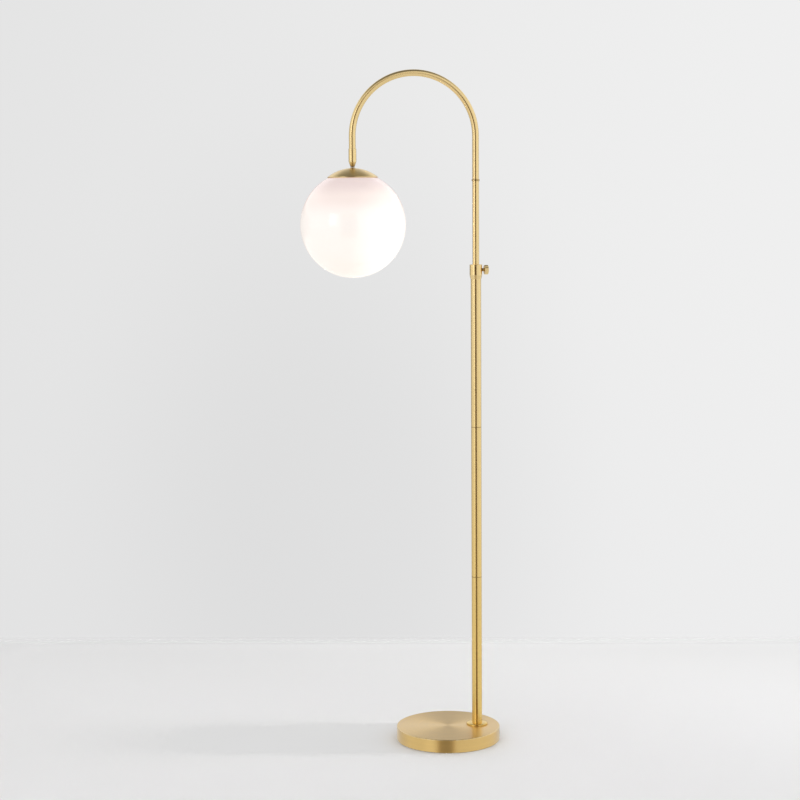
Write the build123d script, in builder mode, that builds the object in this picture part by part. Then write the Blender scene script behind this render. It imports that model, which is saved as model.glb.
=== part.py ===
# Arc floor lamp: a weighted base, an off-centre pole in three sections, a stem that slides and turns
# in the pole, a half-circle arch and an opal globe under a domed cap.
# Millimetres, +Z up. The origin is the centre of the base's underside. The arch reaches towards -X,
# the thumbscrew and the cord inlet look towards +X.
import math
import os

from build123d import *

# ---------------------------------------------------------------- driving sizes
slip = 0.05               # radial clearance of a running or pressed fit
air = 0.3                 # gap round a loose part
lead_radius = 2.3         # the two-core lead inside the lamp
lead_air = 0.3            # radial room for the lead in a close bore

# base
base_radius = 127.0
base_height = 33.0
cover_wall = 1.2
cover_lift = 1.0          # the cover's edge stays off the floor
cover_edge = 1.5
felt_thickness = 2.0
felt_margin = 4.0
pole_inset = 54.0         # pole axis, in from the base's rim
pocket_radius = 22.0      # nut pocket, under the weight
pocket_roof = 23.0
channel_width = 20.0      # cord channel, under the weight
channel_roof = 15.0
inlet_z = 8.0
inlet_bore = 3.3
grommet_radius = 5.0
grommet_flange = 6.0
grommet_proud = 2.5
grommet_depth = 9.0
grommet_taper = 1.0
clip_length = 18.0
clip_screw_radius = 1.5
clip_screw_spread = 6.2
clip_screw_head = 1.3     # head outside the shank
clip_screw_head_height = 1.6
clip_floor = 1.5          # clip below the lead

# nipple, washer and nut that hold the pole on the base
nipple_radius = 8.0
nipple_bore = 5.5
nipple_low = 13.0
nipple_in_pole = 16.5
nut_height = 8.0
nut_radius = 14.0
washer_height = 2.0
washer_radius = 18.0
lead_turn = 11.0          # bend of the lead below the nipple

# pole
pole_radius = 12.5
pole_wall = 1.2
section_length = 371.0
section_count = 3
seam_chamfer = 0.3
flange_radius = 26.5
flange_height = 4.8
flange_foot = 3.0
flange_lip = 1.5
foot_plug_height = 24.0
coupler_length = 22.0
coupler_thread = 8.0
coupler_thread_length = 14.0
coupler_bore = 4.0
insert_length = 18.0

# collar and clamp
collar_wall = 2.5         # collar outside the pole
collar_overlap = 11.0     # how far the collar goes down over the pole
collar_above = 24.0       # how far it stands above the pole's end
collar_taper = 9.5
collar_lip = 1.5
collar_chamfer = 0.8
collar_seat = 0.5         # ledge on the pole's end, and the collar's lower edge
screw_above = 11.0        # screw axis above the pole's end
screw_radius = 3.0
pad_radius = 2.7
pad_length = 2.0
pad_pin_radius = 1.2
pad_pin_length = 1.2
knob_gap = 0.6
knob_neck_radius = 3.9
knob_neck_length = 2.4
knob_flare_length = 2.6
knob_flare_radius = 8.0
knob_flare_bend = 0.62    # how hollow the flare is
knob_radius = 11.5
knob_length = 9.4
knob_chamfer = 0.8
flute_count = 10
flute_radius = 1.9
flute_depth = 1.1
knob_dish_radius = 7.5
knob_dish_depth = 0.8

# stem and arch
stem_radius = 8.0
stem_wall = 1.2
stem_inside = 90.0        # stem length inside the pole at rest
stem_shows = 200.0        # stem above the collar at rest
ring_step = 1.5           # ring outside the stem
ring_height = 4.5
ring_chamfer = 0.5
arch_radius = 149.0
arch_leg = 102.5          # straight part below the half circle, on the pole's side
arch_drop = 29.0          # and above the ferrule, on the globe's side
spigot_length = 16.0
insert_wall = 1.8
stem_foot_flange = 2.0
stem_foot_air = 1.8       # flange inside the pole's bore
barrel_step = 1.0         # barrel inside the stem's outside, so the tube rests on it
spreader_height = 14.0
slack_above = 11.0        # where the lead starts to run slack, above the upper joint
slack_swing = 5.5
slack_waves = 6
slack_bend = 0.11         # share of the largest bend that the waves leave room for

# ferrule and neck
ferrule_wall = 1.2
ferrule_length = 43.0
ferrule_straight = 31.0
ferrule_end_radius = 4.8
ferrule_lap = 14.0
spigot_step = 1.5         # screwed part inside the tube's outside
spigot_thread_length = 9.0
ferrule_cavity = 5.6
ferrule_floor = 9.5
ferrule_air = 1.0
thrust_height = 1.4
neck_radius = 3.4
neck_bore = 2.5
neck_head_radius = 5.3
neck_head_height = 2.2
neck_in_holder = 9.0
neck_shows = 2.7          # between the ferrule and the cap
neck_nut_radius = 5.5
neck_nut_height = 1.4

# cap, gallery and globe
cap_radius = 60.0
cap_headroom = 15.5       # from the globe's mouth to the cap's crown
cap_wall = 1.0
cap_lip = 1.8
cap_air = 0.16
spacer_radius = 5.5
plate_lift = 0.8          # plate above the globe's mouth
plate_height = 1.2
plate_air = 2.0
globe_radius = 126.0
globe_wall = 3.0
globe_hole = 42.0
clip_count = 3
clip_width = 10.0
clip_thickness = 0.6
clip_inset = 6.0          # in from the plate's rim
clip_drop = 13.0
clip_reach = 5.0          # tips outside the globe's mouth
clip_bend = 1.5
cap_nut_radius = 7.5
cap_nut_height = 4.0

# lampholder and bulb
holder_drop = 0.6         # lampholder below the nut
holder_cap_radius = 16.0
holder_cap_height = 17.0
holder_cap_slope = 5.0
holder_radius = 19.5
holder_height = 38.0
holder_wall = 3.0
holder_slope = 2.5
holder_slope_height = 4.0
holder_air = 2.0
core_plate = 4.0
screw_shell_radius = 14.2
screw_shell_wall = 0.5
bulb_base_radius = 13.2
bulb_base_wall = 0.6
bulb_base_height = 22.0
bulb_base_slope = 4.0
bulb_tip_radius = 5.0
bulb_radius = 30.0
bulb_drop = 82.0          # bulb below the lampholder
bulb_lean = 35.0          # where the bulb's neck leaves the ball, degrees
bulb_neck_radius = 12.4
bulb_neck_lap = 6.0
bulb_neck_shows = 2.0
bulb_wall = 1.0
contact_width = 6.0
contact_height = 3.0

# ---------------------------------------------------------------- derived places
pole_x = base_radius - pole_inset
pole_inner = pole_radius - pole_wall
stem_inner = stem_radius - stem_wall
pole_top = base_height + section_count * section_length
seams = [base_height + section_length * (n + 1) for n in range(section_count - 1)]
cover_under = base_height - cover_wall
cover_inner = base_radius - cover_wall
weight_radius = cover_inner - air
collar_low = pole_top - collar_overlap
collar_top = pole_top + collar_above
collar_radius = pole_radius + collar_wall
collar_bore = pole_radius - collar_seat
screw_z = pole_top + screw_above
stem_low = pole_top - stem_inside
barrel_low = stem_low - spreader_height - 2 * slip
foot_low = barrel_low - stem_foot_flange
barrel_radius = stem_radius - barrel_step
stem_foot_radius = pole_inner - stem_foot_air
slack_low = seams[-1] + coupler_thread_length + slack_above
stem_height = collar_top + stem_shows
thread_radius = stem_inner - insert_wall
ring_radius = stem_radius + ring_step
arm_base = stem_height + ring_height
arch_spring = arm_base + arch_leg
arch_x = pole_x - arch_radius
globe_x = arch_x - arch_radius
ferrule_radius = stem_radius + ferrule_wall
ferrule_top = arch_spring - arch_drop
ferrule_taper_top = ferrule_top - ferrule_straight
ferrule_bottom = ferrule_top - ferrule_length
ferrule_ledge = ferrule_bottom + ferrule_floor
tube_end = ferrule_top - ferrule_lap
spigot_thread = stem_radius - spigot_step
insert_top = tube_end + spigot_length
insert_low = tube_end - spigot_thread_length
lead_bore = lead_radius + lead_air
pad_tip = stem_radius + air
pad_back = pad_tip + pad_length
knob_start = collar_radius + knob_gap
head_start = knob_start + knob_neck_length + knob_flare_length
head_end = head_start + knob_length
neck_head_low = ferrule_ledge + thrust_height + slip
neck_head_top = neck_head_low + neck_head_height
globe_mouth = math.sqrt(globe_radius ** 2 - globe_hole ** 2)
globe_shoulder = math.sqrt(globe_radius ** 2 - (cap_radius - cap_wall) ** 2)
cap_top = ferrule_bottom - neck_shows
cap_rise = cap_headroom + globe_mouth - globe_shoulder - cap_air - cap_lip
cap_rim = cap_top - cap_rise - cap_lip
dome_radius = (cap_radius ** 2 + cap_rise ** 2) / (2 * cap_rise)
dome_z = cap_top - dome_radius
globe_z = cap_rim - cap_air - globe_shoulder
plate_low = globe_z + globe_mouth + plate_lift
plate_top = plate_low + plate_height
plate_radius = globe_hole - plate_air
spacer_top = dome_z + math.sqrt((dome_radius - cap_wall) ** 2 - spacer_radius ** 2) - slip
holder_top = plate_low - cap_nut_height - holder_drop
holder_joint = holder_top - holder_cap_height
holder_bottom = holder_joint - holder_height
neck_low = holder_top - neck_in_holder
core_top = holder_joint - holder_wall
core_low = core_top - core_plate
bulb_base_top = core_low - contact_height
bulb_base_low = bulb_base_top - bulb_base_height
bulb_bottom = holder_bottom - bulb_drop
inlet_inner = base_radius - grommet_depth

pole_axis = Axis((pole_x, 0, 0), (0, 0, 1))
globe_axis = Axis((globe_x, 0, 0), (0, 0, 1))
screw_axis = Axis((pole_x, 0, screw_z), (1, 0, 0))
pole_section = Plane(origin=(pole_x, 0, 0), x_dir=(1, 0, 0), z_dir=(0, -1, 0))
globe_section = Plane(origin=(globe_x, 0, 0), x_dir=(1, 0, 0), z_dir=(0, -1, 0))
screw_section = Plane(origin=(pole_x, 0, screw_z), x_dir=(1, 0, 0), z_dir=(0, -1, 0))

os.makedirs("parts", exist_ok=True)


def write(piece, label):
    piece.part.label = label
    export_step(piece.part, f"parts/{label}.step")


def turned(label, outline, section, axis, chamfers=()):
    """A piece turned from a closed outline of (radius, height) points, with optional edge chamfers."""
    with BuildPart() as piece:
        with BuildSketch(section):
            with BuildLine():
                Polyline(*outline, close=True)
            make_face()
        revolve(axis=axis)
        for height, size in chamfers:
            edges = piece.edges().filter_by(GeomType.CIRCLE).filter_by_position(Axis.Z, height, height)
            chamfer(edges.sort_by(SortBy.RADIUS)[-1], size)
    write(piece, label)


def sleeve(label, inner, outer, low, high, section=pole_section, axis=pole_axis, chamfers=()):
    outline = [(inner, low), (outer, low), (outer, high), (inner, high)]
    turned(label, outline, section, axis, chamfers)


# ---------------------------------------------------------------- base
with BuildPart() as base_felt:
    with BuildSketch(Plane.XY):
        Circle(base_radius - felt_margin)
    extrude(amount=felt_thickness)
write(base_felt, "base_felt")

with BuildPart() as base_weight:
    with BuildSketch(Plane.XY.offset(felt_thickness)):
        Circle(weight_radius)
    extrude(amount=cover_under - felt_thickness)
    chamfer(base_weight.edges().group_by(Axis.Z)[-1], cover_edge)
    with BuildSketch(Plane.XY.offset(felt_thickness)):
        with Locations((pole_x, 0)):
            Circle(pocket_radius)
    extrude(amount=pocket_roof - felt_thickness, mode=Mode.SUBTRACT)
    with BuildSketch(Plane.XY.offset(felt_thickness)):
        with Locations((pole_x, 0)):
            Rectangle(base_radius, channel_width, align=(Align.MIN, Align.CENTER))
    extrude(amount=channel_roof - felt_thickness, mode=Mode.SUBTRACT)
    with BuildSketch(Plane.XY.offset(pocket_roof)):
        with Locations((pole_x, 0)):
            Circle(nipple_radius + air)
    extrude(amount=cover_under - pocket_roof, mode=Mode.SUBTRACT)
    clip_x = inlet_inner - air - clip_length / 2 - lead_radius
    with BuildSketch(Plane.XY.offset(channel_roof)):
        with Locations((clip_x, clip_screw_spread), (clip_x, -clip_screw_spread)):
            Circle(clip_screw_radius + slip)
    extrude(amount=pocket_roof - channel_roof, mode=Mode.SUBTRACT)
write(base_weight, "base_weight")

with BuildPart() as base_cover:
    with BuildSketch(Plane.XY.offset(cover_lift)):
        Circle(base_radius)
    extrude(amount=base_height - cover_lift)
    fillet(base_cover.edges().group_by(Axis.Z)[-1], cover_edge)
    with BuildSketch(Plane.XY.offset(cover_lift)):
        Circle(cover_inner)
    extrude(amount=cover_under - cover_lift, mode=Mode.SUBTRACT)
    with BuildSketch(Plane.XY.offset(cover_under)):
        with Locations((pole_x, 0)):
            Circle(nipple_radius + air)
    extrude(amount=cover_wall, mode=Mode.SUBTRACT)
    with BuildSketch(Plane.YZ.offset(inlet_inner)):
        with Locations((0, inlet_z)):
            Circle(grommet_radius + slip)
    extrude(amount=grommet_depth, mode=Mode.SUBTRACT)
write(base_cover, "base_cover")

grommet_axis = Axis((0, 0, inlet_z), (1, 0, 0))
with BuildPart() as cord_grommet:
    with BuildSketch(Plane(origin=(0, 0, inlet_z), x_dir=(1, 0, 0), z_dir=(0, -1, 0))):
        with BuildLine():
            bead = (inlet_inner + cover_inner) / 2
            Polyline(
                (inlet_inner, inlet_bore), (base_radius + grommet_proud, inlet_bore),
                (base_radius + grommet_proud, grommet_radius - grommet_taper), (base_radius, grommet_flange),
                (base_radius, grommet_radius), (cover_inner - air, grommet_radius),
                (cover_inner - air, grommet_flange), (bead, grommet_radius),
                (inlet_inner, grommet_radius - grommet_taper), close=True,
            )
        make_face()
    revolve(axis=grommet_axis)
write(cord_grommet, "cord_grommet")

with BuildPart() as cord_clip:
    clip_low = inlet_z - lead_radius - clip_floor
    with BuildSketch(Plane.XY.offset(clip_low)):
        with Locations((clip_x, 0)):
            RectangleRounded(clip_length, channel_width - 2 * air, clip_screw_radius)
            with Locations((0, clip_screw_spread), (0, -clip_screw_spread)):
                Circle(clip_screw_radius + slip, mode=Mode.SUBTRACT)
    extrude(amount=channel_roof - clip_low)
    with BuildSketch(Plane.YZ.offset(clip_x - clip_length / 2)):
        with Locations((0, inlet_z)):
            Circle(lead_radius + slip)
    extrude(amount=clip_length, mode=Mode.SUBTRACT)
write(cord_clip, "cord_clip")

with BuildPart() as clip_screws:
    with BuildSketch(Plane.XY.offset(clip_low - clip_screw_head_height)):
        with Locations((clip_x, clip_screw_spread), (clip_x, -clip_screw_spread)):
            Circle(clip_screw_radius + clip_screw_head)
    extrude(amount=clip_screw_head_height)
    with BuildSketch(Plane.XY.offset(clip_low)):
        with Locations((clip_x, clip_screw_spread), (clip_x, -clip_screw_spread)):
            Circle(clip_screw_radius)
    extrude(amount=pocket_roof - clip_low - clip_floor)
write(clip_screws, "clip_screws")

# ---------------------------------------------------------------- pole fixing
sleeve("base_nipple", nipple_bore, nipple_radius, nipple_low, base_height + nipple_in_pole)
sleeve("base_washer", nipple_radius + air, washer_radius, pocket_roof - washer_height, pocket_roof)
nut_low = pocket_roof - washer_height - nut_height
with BuildPart() as base_nut:
    with BuildSketch(Plane.XY.offset(nut_low)):
        with Locations((pole_x, 0)):
            RegularPolygon(nut_radius, 6)
            Circle(nipple_radius + slip, mode=Mode.SUBTRACT)
    extrude(amount=nut_height)
write(base_nut, "base_nut")

turned(
    "foot_plug",
    [
        (nipple_radius + slip, base_height), (pole_inner - slip, base_height),
        (pole_inner - slip, base_height + foot_plug_height), (nipple_bore, base_height + foot_plug_height),
        (nipple_bore, base_height + nipple_in_pole + air),
        (nipple_radius + slip, base_height + nipple_in_pole + air),
    ],
    pole_section, pole_axis,
)

# thin flange round the pole's foot
with BuildPart() as pole_flange:
    with BuildSketch(pole_section):
        with BuildLine():
            bore = pole_radius + slip
            crown = bore + flange_lip
            Polyline((bore, base_height + flange_height), (bore, base_height), (flange_radius, base_height),
                     (flange_radius, base_height + flange_foot))
            EllipticalCenterArc((crown, base_height + flange_foot), flange_radius - crown,
                                flange_height - flange_foot, arc_size=90)
            Line((crown, base_height + flange_height), (bore, base_height + flange_height))
        make_face()
    revolve(axis=pole_axis)
write(pole_flange, "pole_flange")

# ---------------------------------------------------------------- pole sections and their screwed joints
section_names = ["lower_pole", "middle_pole", "upper_pole"]
for n, name in enumerate(section_names):
    low = base_height + n * section_length
    high = low + section_length
    cuts = [(low, seam_chamfer)] if n else []
    if n < section_count - 1:
        cuts.append((high, seam_chamfer))
    sleeve(name, pole_inner, pole_radius, low, high, chamfers=cuts)

for name, seam in zip(["lower", "upper"], seams):
    turned(
        f"{name}_coupler",
        [
            (coupler_bore, seam - coupler_length), (pole_inner - slip, seam - coupler_length),
            (pole_inner - slip, seam), (coupler_thread, seam),
            (coupler_thread, seam + coupler_thread_length),
            (coupler_bore, seam + coupler_thread_length),
        ],
        pole_section, pole_axis,
    )
    sleeve(f"{name}_insert", coupler_thread + slip, pole_inner - slip, seam, seam + insert_length)

# ---------------------------------------------------------------- collar, guide bush and clamp
with BuildPart() as height_collar:
    with BuildSketch(pole_section):
        with BuildLine():
            bore = pole_radius + slip
            Polyline(
                (bore, collar_low), (bore + collar_seat, collar_low),
                (collar_radius, collar_low + collar_taper),
                (collar_radius, collar_top), (stem_radius + air, collar_top),
                (stem_radius + air, collar_top - collar_lip), (collar_bore, collar_top - collar_lip),
                (collar_bore, pole_top), (bore, pole_top), close=True,
            )
        make_face()
    revolve(axis=pole_axis)
    rims = height_collar.edges().filter_by(GeomType.CIRCLE).group_by(Axis.Z)[-1]
    chamfer(rims.sort_by(SortBy.RADIUS)[-1], collar_chamfer)
    with BuildSketch(Plane.YZ.offset(pole_x)):
        with Locations((0, screw_z)):
            Circle(screw_radius + slip)
    extrude(amount=2 * collar_radius, mode=Mode.SUBTRACT)
write(height_collar, "height_collar")

with BuildPart() as guide_bush:
    with BuildSketch(pole_section):
        with BuildLine():
            Polyline(
                (stem_radius + slip, pole_top), (collar_bore - slip, pole_top),
                (collar_bore - slip, collar_top - collar_lip), (stem_radius + slip, collar_top - collar_lip),
                close=True,
            )
        make_face()
    revolve(axis=pole_axis)
    with BuildSketch(Plane.YZ.offset(pole_x)):
        with Locations((0, screw_z)):
            Circle(screw_radius + air)
    extrude(amount=collar_radius, mode=Mode.SUBTRACT)
write(guide_bush, "guide_bush")

turned(
    "clamp_pad",
    [
        (pad_tip, 0), (pad_tip, pad_radius), (pad_back, pad_radius), (pad_back, pad_pin_radius + slip),
        (pad_back - pad_pin_length - slip, pad_pin_radius + slip), (pad_back - pad_pin_length - slip, 0),
    ],
    screw_section, screw_axis,
)

with BuildPart() as clamp_knob:
    with BuildSketch(screw_section):
        with BuildLine():
            neck_end = knob_start + knob_neck_length
            flare_rise = knob_flare_radius - knob_neck_radius
            flare_middle = (neck_end + knob_flare_bend * knob_flare_length,
                            knob_neck_radius + (1 - knob_flare_bend) ** 1.25 * flare_rise)
            Polyline(
                (pad_back - pad_pin_length, 0), (pad_back - pad_pin_length, pad_pin_radius),
                (pad_back, pad_pin_radius), (pad_back, screw_radius), (knob_start, screw_radius),
                (knob_start, knob_neck_radius), (neck_end, knob_neck_radius),
            )
            ThreePointArc((neck_end, knob_neck_radius), flare_middle, (head_start, knob_flare_radius))
            Polyline(
                (head_start, knob_flare_radius), (head_start, knob_radius - knob_chamfer),
                (head_start + knob_chamfer, knob_radius), (head_end - knob_chamfer, knob_radius),
                (head_end, knob_radius - knob_chamfer), (head_end, knob_dish_radius),
                (head_end - knob_dish_depth, knob_dish_radius - knob_dish_depth),
                (head_end - knob_dish_depth, 0), (pad_back - pad_pin_length, 0),
            )
        make_face()
    revolve(axis=screw_axis)
    with BuildSketch(Plane(origin=(pole_x + head_start, 0, screw_z), x_dir=(0, 1, 0), z_dir=(1, 0, 0))):
        with PolarLocations(knob_radius - flute_depth + flute_radius, flute_count):
            Circle(flute_radius)
    extrude(amount=knob_length, mode=Mode.SUBTRACT)
write(clamp_knob, "clamp_knob")

# ---------------------------------------------------------------- stem
sleeve("stem_tube", stem_inner, stem_radius, stem_low, stem_height)
turned(
    "stem_foot",
    [
        (lead_bore, foot_low), (stem_foot_radius, foot_low), (stem_foot_radius, barrel_low),
        (barrel_radius, barrel_low), (barrel_radius, stem_low), (stem_inner - slip, stem_low),
        (stem_inner - slip, stem_low + spigot_length), (lead_bore, stem_low + spigot_length),
    ],
    pole_section, pole_axis,
)
sleeve("stem_spreader", barrel_radius + slip, pole_inner - slip, barrel_low + slip, stem_low - slip)
sleeve("stem_insert", thread_radius + slip, stem_inner - slip,
       stem_height - spigot_length - insert_wall, stem_height)
turned(
    "arm_coupler",
    [
        (lead_bore, stem_height - spigot_length), (thread_radius, stem_height - spigot_length),
        (thread_radius, stem_height), (ring_radius, stem_height), (ring_radius, arm_base),
        (stem_inner - slip, arm_base), (stem_inner - slip, arm_base + spigot_length),
        (lead_bore, arm_base + spigot_length),
    ],
    pole_section, pole_axis,
    chamfers=[(stem_height, ring_chamfer), (arm_base, ring_chamfer)],
)

# ---------------------------------------------------------------- arch
with BuildPart() as arch_tube:
    with BuildLine(Plane.XZ) as arch_path:
        Line((pole_x, arm_base), (pole_x, arch_spring))
        CenterArc((arch_x, arch_spring), arch_radius, 0, 180)
        Line((globe_x, arch_spring), (globe_x, tube_end))
    with BuildSketch(Plane(origin=(pole_x, 0, arm_base), z_dir=(0, 0, 1))):
        Circle(stem_radius)
        Circle(stem_inner, mode=Mode.SUBTRACT)
    sweep(path=arch_path.wires()[0])
write(arch_tube, "arch_tube")

turned(
    "arch_insert",
    [
        (lead_bore, insert_low), (spigot_thread, insert_low), (spigot_thread, tube_end),
        (stem_inner - slip, tube_end), (stem_inner - slip, insert_top), (lead_bore, insert_top),
    ],
    globe_section, globe_axis,
)

turned(
    "ferrule",
    [
        (neck_radius + slip, ferrule_bottom), (ferrule_end_radius, ferrule_bottom),
        (ferrule_radius, ferrule_taper_top), (ferrule_radius, ferrule_top),
        (stem_radius + slip, ferrule_top), (stem_radius + slip, tube_end),
        (spigot_thread + slip, tube_end), (spigot_thread + slip, insert_low - ferrule_air),
        (ferrule_cavity, insert_low - ferrule_air), (ferrule_cavity, ferrule_ledge),
        (neck_radius + slip, ferrule_ledge),
    ],
    globe_section, globe_axis,
    chamfers=[(ferrule_top, ring_chamfer)],
)
sleeve("thrust_washer", neck_radius + slip, ferrule_cavity - slip, ferrule_ledge,
       ferrule_ledge + thrust_height, globe_section, globe_axis)

# ---------------------------------------------------------------- neck, cap and gallery
turned(
    "neck_stem",
    [
        (neck_bore, neck_low), (neck_radius, neck_low), (neck_radius, neck_head_low),
        (neck_head_radius, neck_head_low), (neck_head_radius, neck_head_top), (neck_bore, neck_head_top),
    ],
    globe_section, globe_axis,
)
sleeve("neck_nut", neck_radius + slip, neck_nut_radius, cap_top, cap_top + neck_nut_height,
       globe_section, globe_axis, chamfers=[(cap_top + neck_nut_height, ring_chamfer)])

with BuildPart() as shade_cap:
    with BuildSketch(globe_section):
        with Locations((0, dome_z)):
            Circle(dome_radius)
            Circle(dome_radius - cap_wall, mode=Mode.SUBTRACT)
        with Locations((neck_radius + slip, cap_rim + cap_lip)):
            Rectangle(cap_radius - neck_radius - slip, cap_rise, align=(Align.MIN, Align.MIN),
                      mode=Mode.INTERSECT)
        with Locations((cap_radius, cap_rim)):
            Rectangle(cap_wall, cap_lip + cap_wall / 2, align=(Align.MAX, Align.MIN))
    revolve(axis=globe_axis)
write(shade_cap, "shade_cap")

sleeve("gallery_spacer", neck_radius + slip, spacer_radius, plate_top, spacer_top, globe_section, globe_axis)
sleeve("gallery_plate", neck_radius + slip, plate_radius, plate_low, plate_top, globe_section, globe_axis)

with BuildPart() as spring_clips:
    for n in range(clip_count):
        turn = 360 / clip_count * n
        out_x, out_y = math.cos(math.radians(turn)), math.sin(math.radians(turn))
        radial = Plane(origin=(globe_x, 0, 0), x_dir=(out_x, out_y, 0), z_dir=(out_y, -out_x, 0))
        tip = globe_hole + clip_reach
        tip_z = globe_z + math.sqrt((globe_radius - globe_wall) ** 2 - tip ** 2) - clip_thickness - air
        with BuildSketch(radial):
            with BuildLine() as strip:
                top = plate_low - clip_thickness / 2
                FilletPolyline((plate_radius - 2 * clip_inset, top), (plate_radius - clip_inset, top),
                               (plate_radius - clip_inset, top - clip_drop), (tip, tip_z), radius=clip_bend)
            trace(line_width=clip_thickness)
        extrude(amount=clip_width / 2, both=True)
write(spring_clips, "spring_clips")

with BuildPart() as cap_nut:
    with BuildSketch(Plane.XY.offset(plate_low - cap_nut_height)):
        with Locations((globe_x, 0)):
            RegularPolygon(cap_nut_radius, 6)
            Circle(neck_radius + slip, mode=Mode.SUBTRACT)
    extrude(amount=cap_nut_height)
write(cap_nut, "cap_nut")

with BuildPart() as globe:
    with BuildSketch(globe_section):
        with Locations((0, globe_z)):
            Circle(globe_radius)
            Circle(globe_radius - globe_wall, mode=Mode.SUBTRACT)
            Rectangle(globe_radius, 2 * globe_radius, align=(Align.MAX, Align.CENTER), mode=Mode.SUBTRACT)
            Rectangle(globe_hole, globe_radius, align=(Align.MIN, Align.MIN), mode=Mode.SUBTRACT)
    revolve(axis=globe_axis)
write(globe, "globe")

# ---------------------------------------------------------------- lampholder and bulb
holder_cap_inner = holder_cap_radius - holder_wall
holder_cap_roof = holder_top - holder_cap_slope - holder_air
turned(
    "holder_cap",
    [
        (neck_radius + slip, holder_top), (holder_cap_radius - holder_cap_slope, holder_top),
        (holder_cap_radius, holder_top - holder_cap_slope), (holder_cap_radius, holder_joint),
        (holder_cap_inner, holder_joint), (holder_cap_inner, holder_cap_roof),
        (neck_radius + slip, holder_cap_roof),
    ],
    globe_section, globe_axis,
)
turned(
    "holder_body",
    [
        (holder_radius, holder_bottom), (holder_radius, holder_joint - holder_slope_height),
        (holder_radius - holder_slope, holder_joint), (holder_cap_inner, holder_joint),
        (holder_cap_inner, core_top), (screw_shell_radius + slip, core_top),
        (screw_shell_radius + slip, holder_bottom),
    ],
    globe_section, globe_axis,
)
sleeve("holder_core", lead_bore, screw_shell_radius, core_low, core_top, globe_section, globe_axis)
sleeve("screw_shell", screw_shell_radius - screw_shell_wall, screw_shell_radius,
       holder_bottom + holder_wall, core_low, globe_section, globe_axis)
with BuildPart() as centre_contact:
    with BuildSketch(Plane.XY.offset(bulb_base_top)):
        with Locations((globe_x, 0)):
            RectangleRounded(contact_width * 2, contact_width, contact_height / 3)
    extrude(amount=contact_height)
write(centre_contact, "centre_contact")

base_inner = bulb_base_radius - bulb_base_wall
turned(
    "bulb_base",
    [
        (0, bulb_base_top), (bulb_tip_radius, bulb_base_top),
        (bulb_base_radius, bulb_base_top - bulb_base_slope), (bulb_base_radius, bulb_base_low),
        (base_inner, bulb_base_low), (base_inner, bulb_base_top - bulb_base_slope - bulb_wall),
        (bulb_tip_radius, bulb_base_top - bulb_wall), (0, bulb_base_top - bulb_wall),
    ],
    globe_section, globe_axis,
)

with BuildPart() as bulb_envelope:
    with BuildSketch(globe_section):
        with BuildLine():
            ball_z = bulb_bottom + bulb_radius
            lean = math.radians(bulb_lean)
            shoulder = (bulb_radius * math.cos(lean), ball_z + bulb_radius * math.sin(lean))
            neck_top = bulb_base_low + bulb_neck_lap
            neck_foot = bulb_base_low - bulb_neck_shows
            Line((0, bulb_bottom), (0, neck_top))
            Polyline((0, neck_top), (bulb_neck_radius, neck_top), (bulb_neck_radius, neck_foot), shoulder)
            CenterArc((0, ball_z), bulb_radius, -90, 90 + bulb_lean)
        make_face()
    revolve(axis=globe_axis)
    offset(amount=-bulb_wall, openings=bulb_envelope.faces().sort_by(Axis.Z)[-1])
write(bulb_envelope, "bulb_envelope")

# ---------------------------------------------------------------- lead inside the lamp
with BuildPart() as stand_lead:
    with BuildLine(Plane.XZ) as lead_path:
        FilletPolyline((inlet_inner - air, inlet_z), (pole_x, inlet_z), (pole_x, slack_low),
                       radius=lead_turn)
    with BuildSketch(Plane(origin=(inlet_inner - air, 0, inlet_z), z_dir=(-1, 0, 0))):
        Circle(lead_radius)
    sweep(path=lead_path.wires()[0])
write(stand_lead, "stand_lead")

# the spare length below the stem lies in long loose waves
slack_step = (foot_low - slack_low) / (slack_waves + 1)
slack_points = [(pole_x, slack_low), (pole_x, slack_low + slack_step / 2)]
for n in range(slack_waves):
    side = slack_swing if n % 2 else -slack_swing
    slack_points.append((pole_x + side, slack_low + slack_step * (n + 1)))
slack_points += [(pole_x, foot_low - slack_step / 2), (pole_x, foot_low)]
slack_radius = slack_bend * slack_step ** 2 / slack_swing
with BuildPart() as slack_lead:
    with BuildLine(Plane.XZ) as slack_path:
        FilletPolyline(*slack_points, radius=slack_radius)
    with BuildSketch(Plane(origin=(pole_x, 0, slack_low), z_dir=(0, 0, 1))):
        Circle(lead_radius)
    sweep(path=slack_path.wires()[0])
write(slack_lead, "slack_lead")

with BuildPart() as arm_lead:
    with BuildLine(Plane.XZ) as arm_path:
        Line((pole_x, foot_low), (pole_x, arch_spring))
        CenterArc((arch_x, arch_spring), arch_radius, 0, 180)
        Line((globe_x, arch_spring), (globe_x, neck_head_top))
    with BuildSketch(Plane(origin=(pole_x, 0, foot_low), z_dir=(0, 0, 1))):
        Circle(lead_radius)
    sweep(path=arm_path.wires()[0])
write(arm_lead, "arm_lead")

with BuildPart() as holder_lead:
    with BuildSketch(Plane.XY.offset(core_low)):
        with Locations((globe_x, 0)):
            Circle(lead_radius)
    extrude(amount=neck_head_top - core_low)
write(holder_lead, "holder_lead")

print(f"lead bends: {lead_turn:.0f} mm below the nipple, {slack_radius:.0f} mm in the slack")
print(f"overall height {arch_spring + arch_radius + stem_radius:.0f} mm, globe axis x {globe_x:.0f} mm")
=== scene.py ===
import math

import bmesh
import bpy
from mathutils import Matrix, Quaternion, Vector


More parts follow.
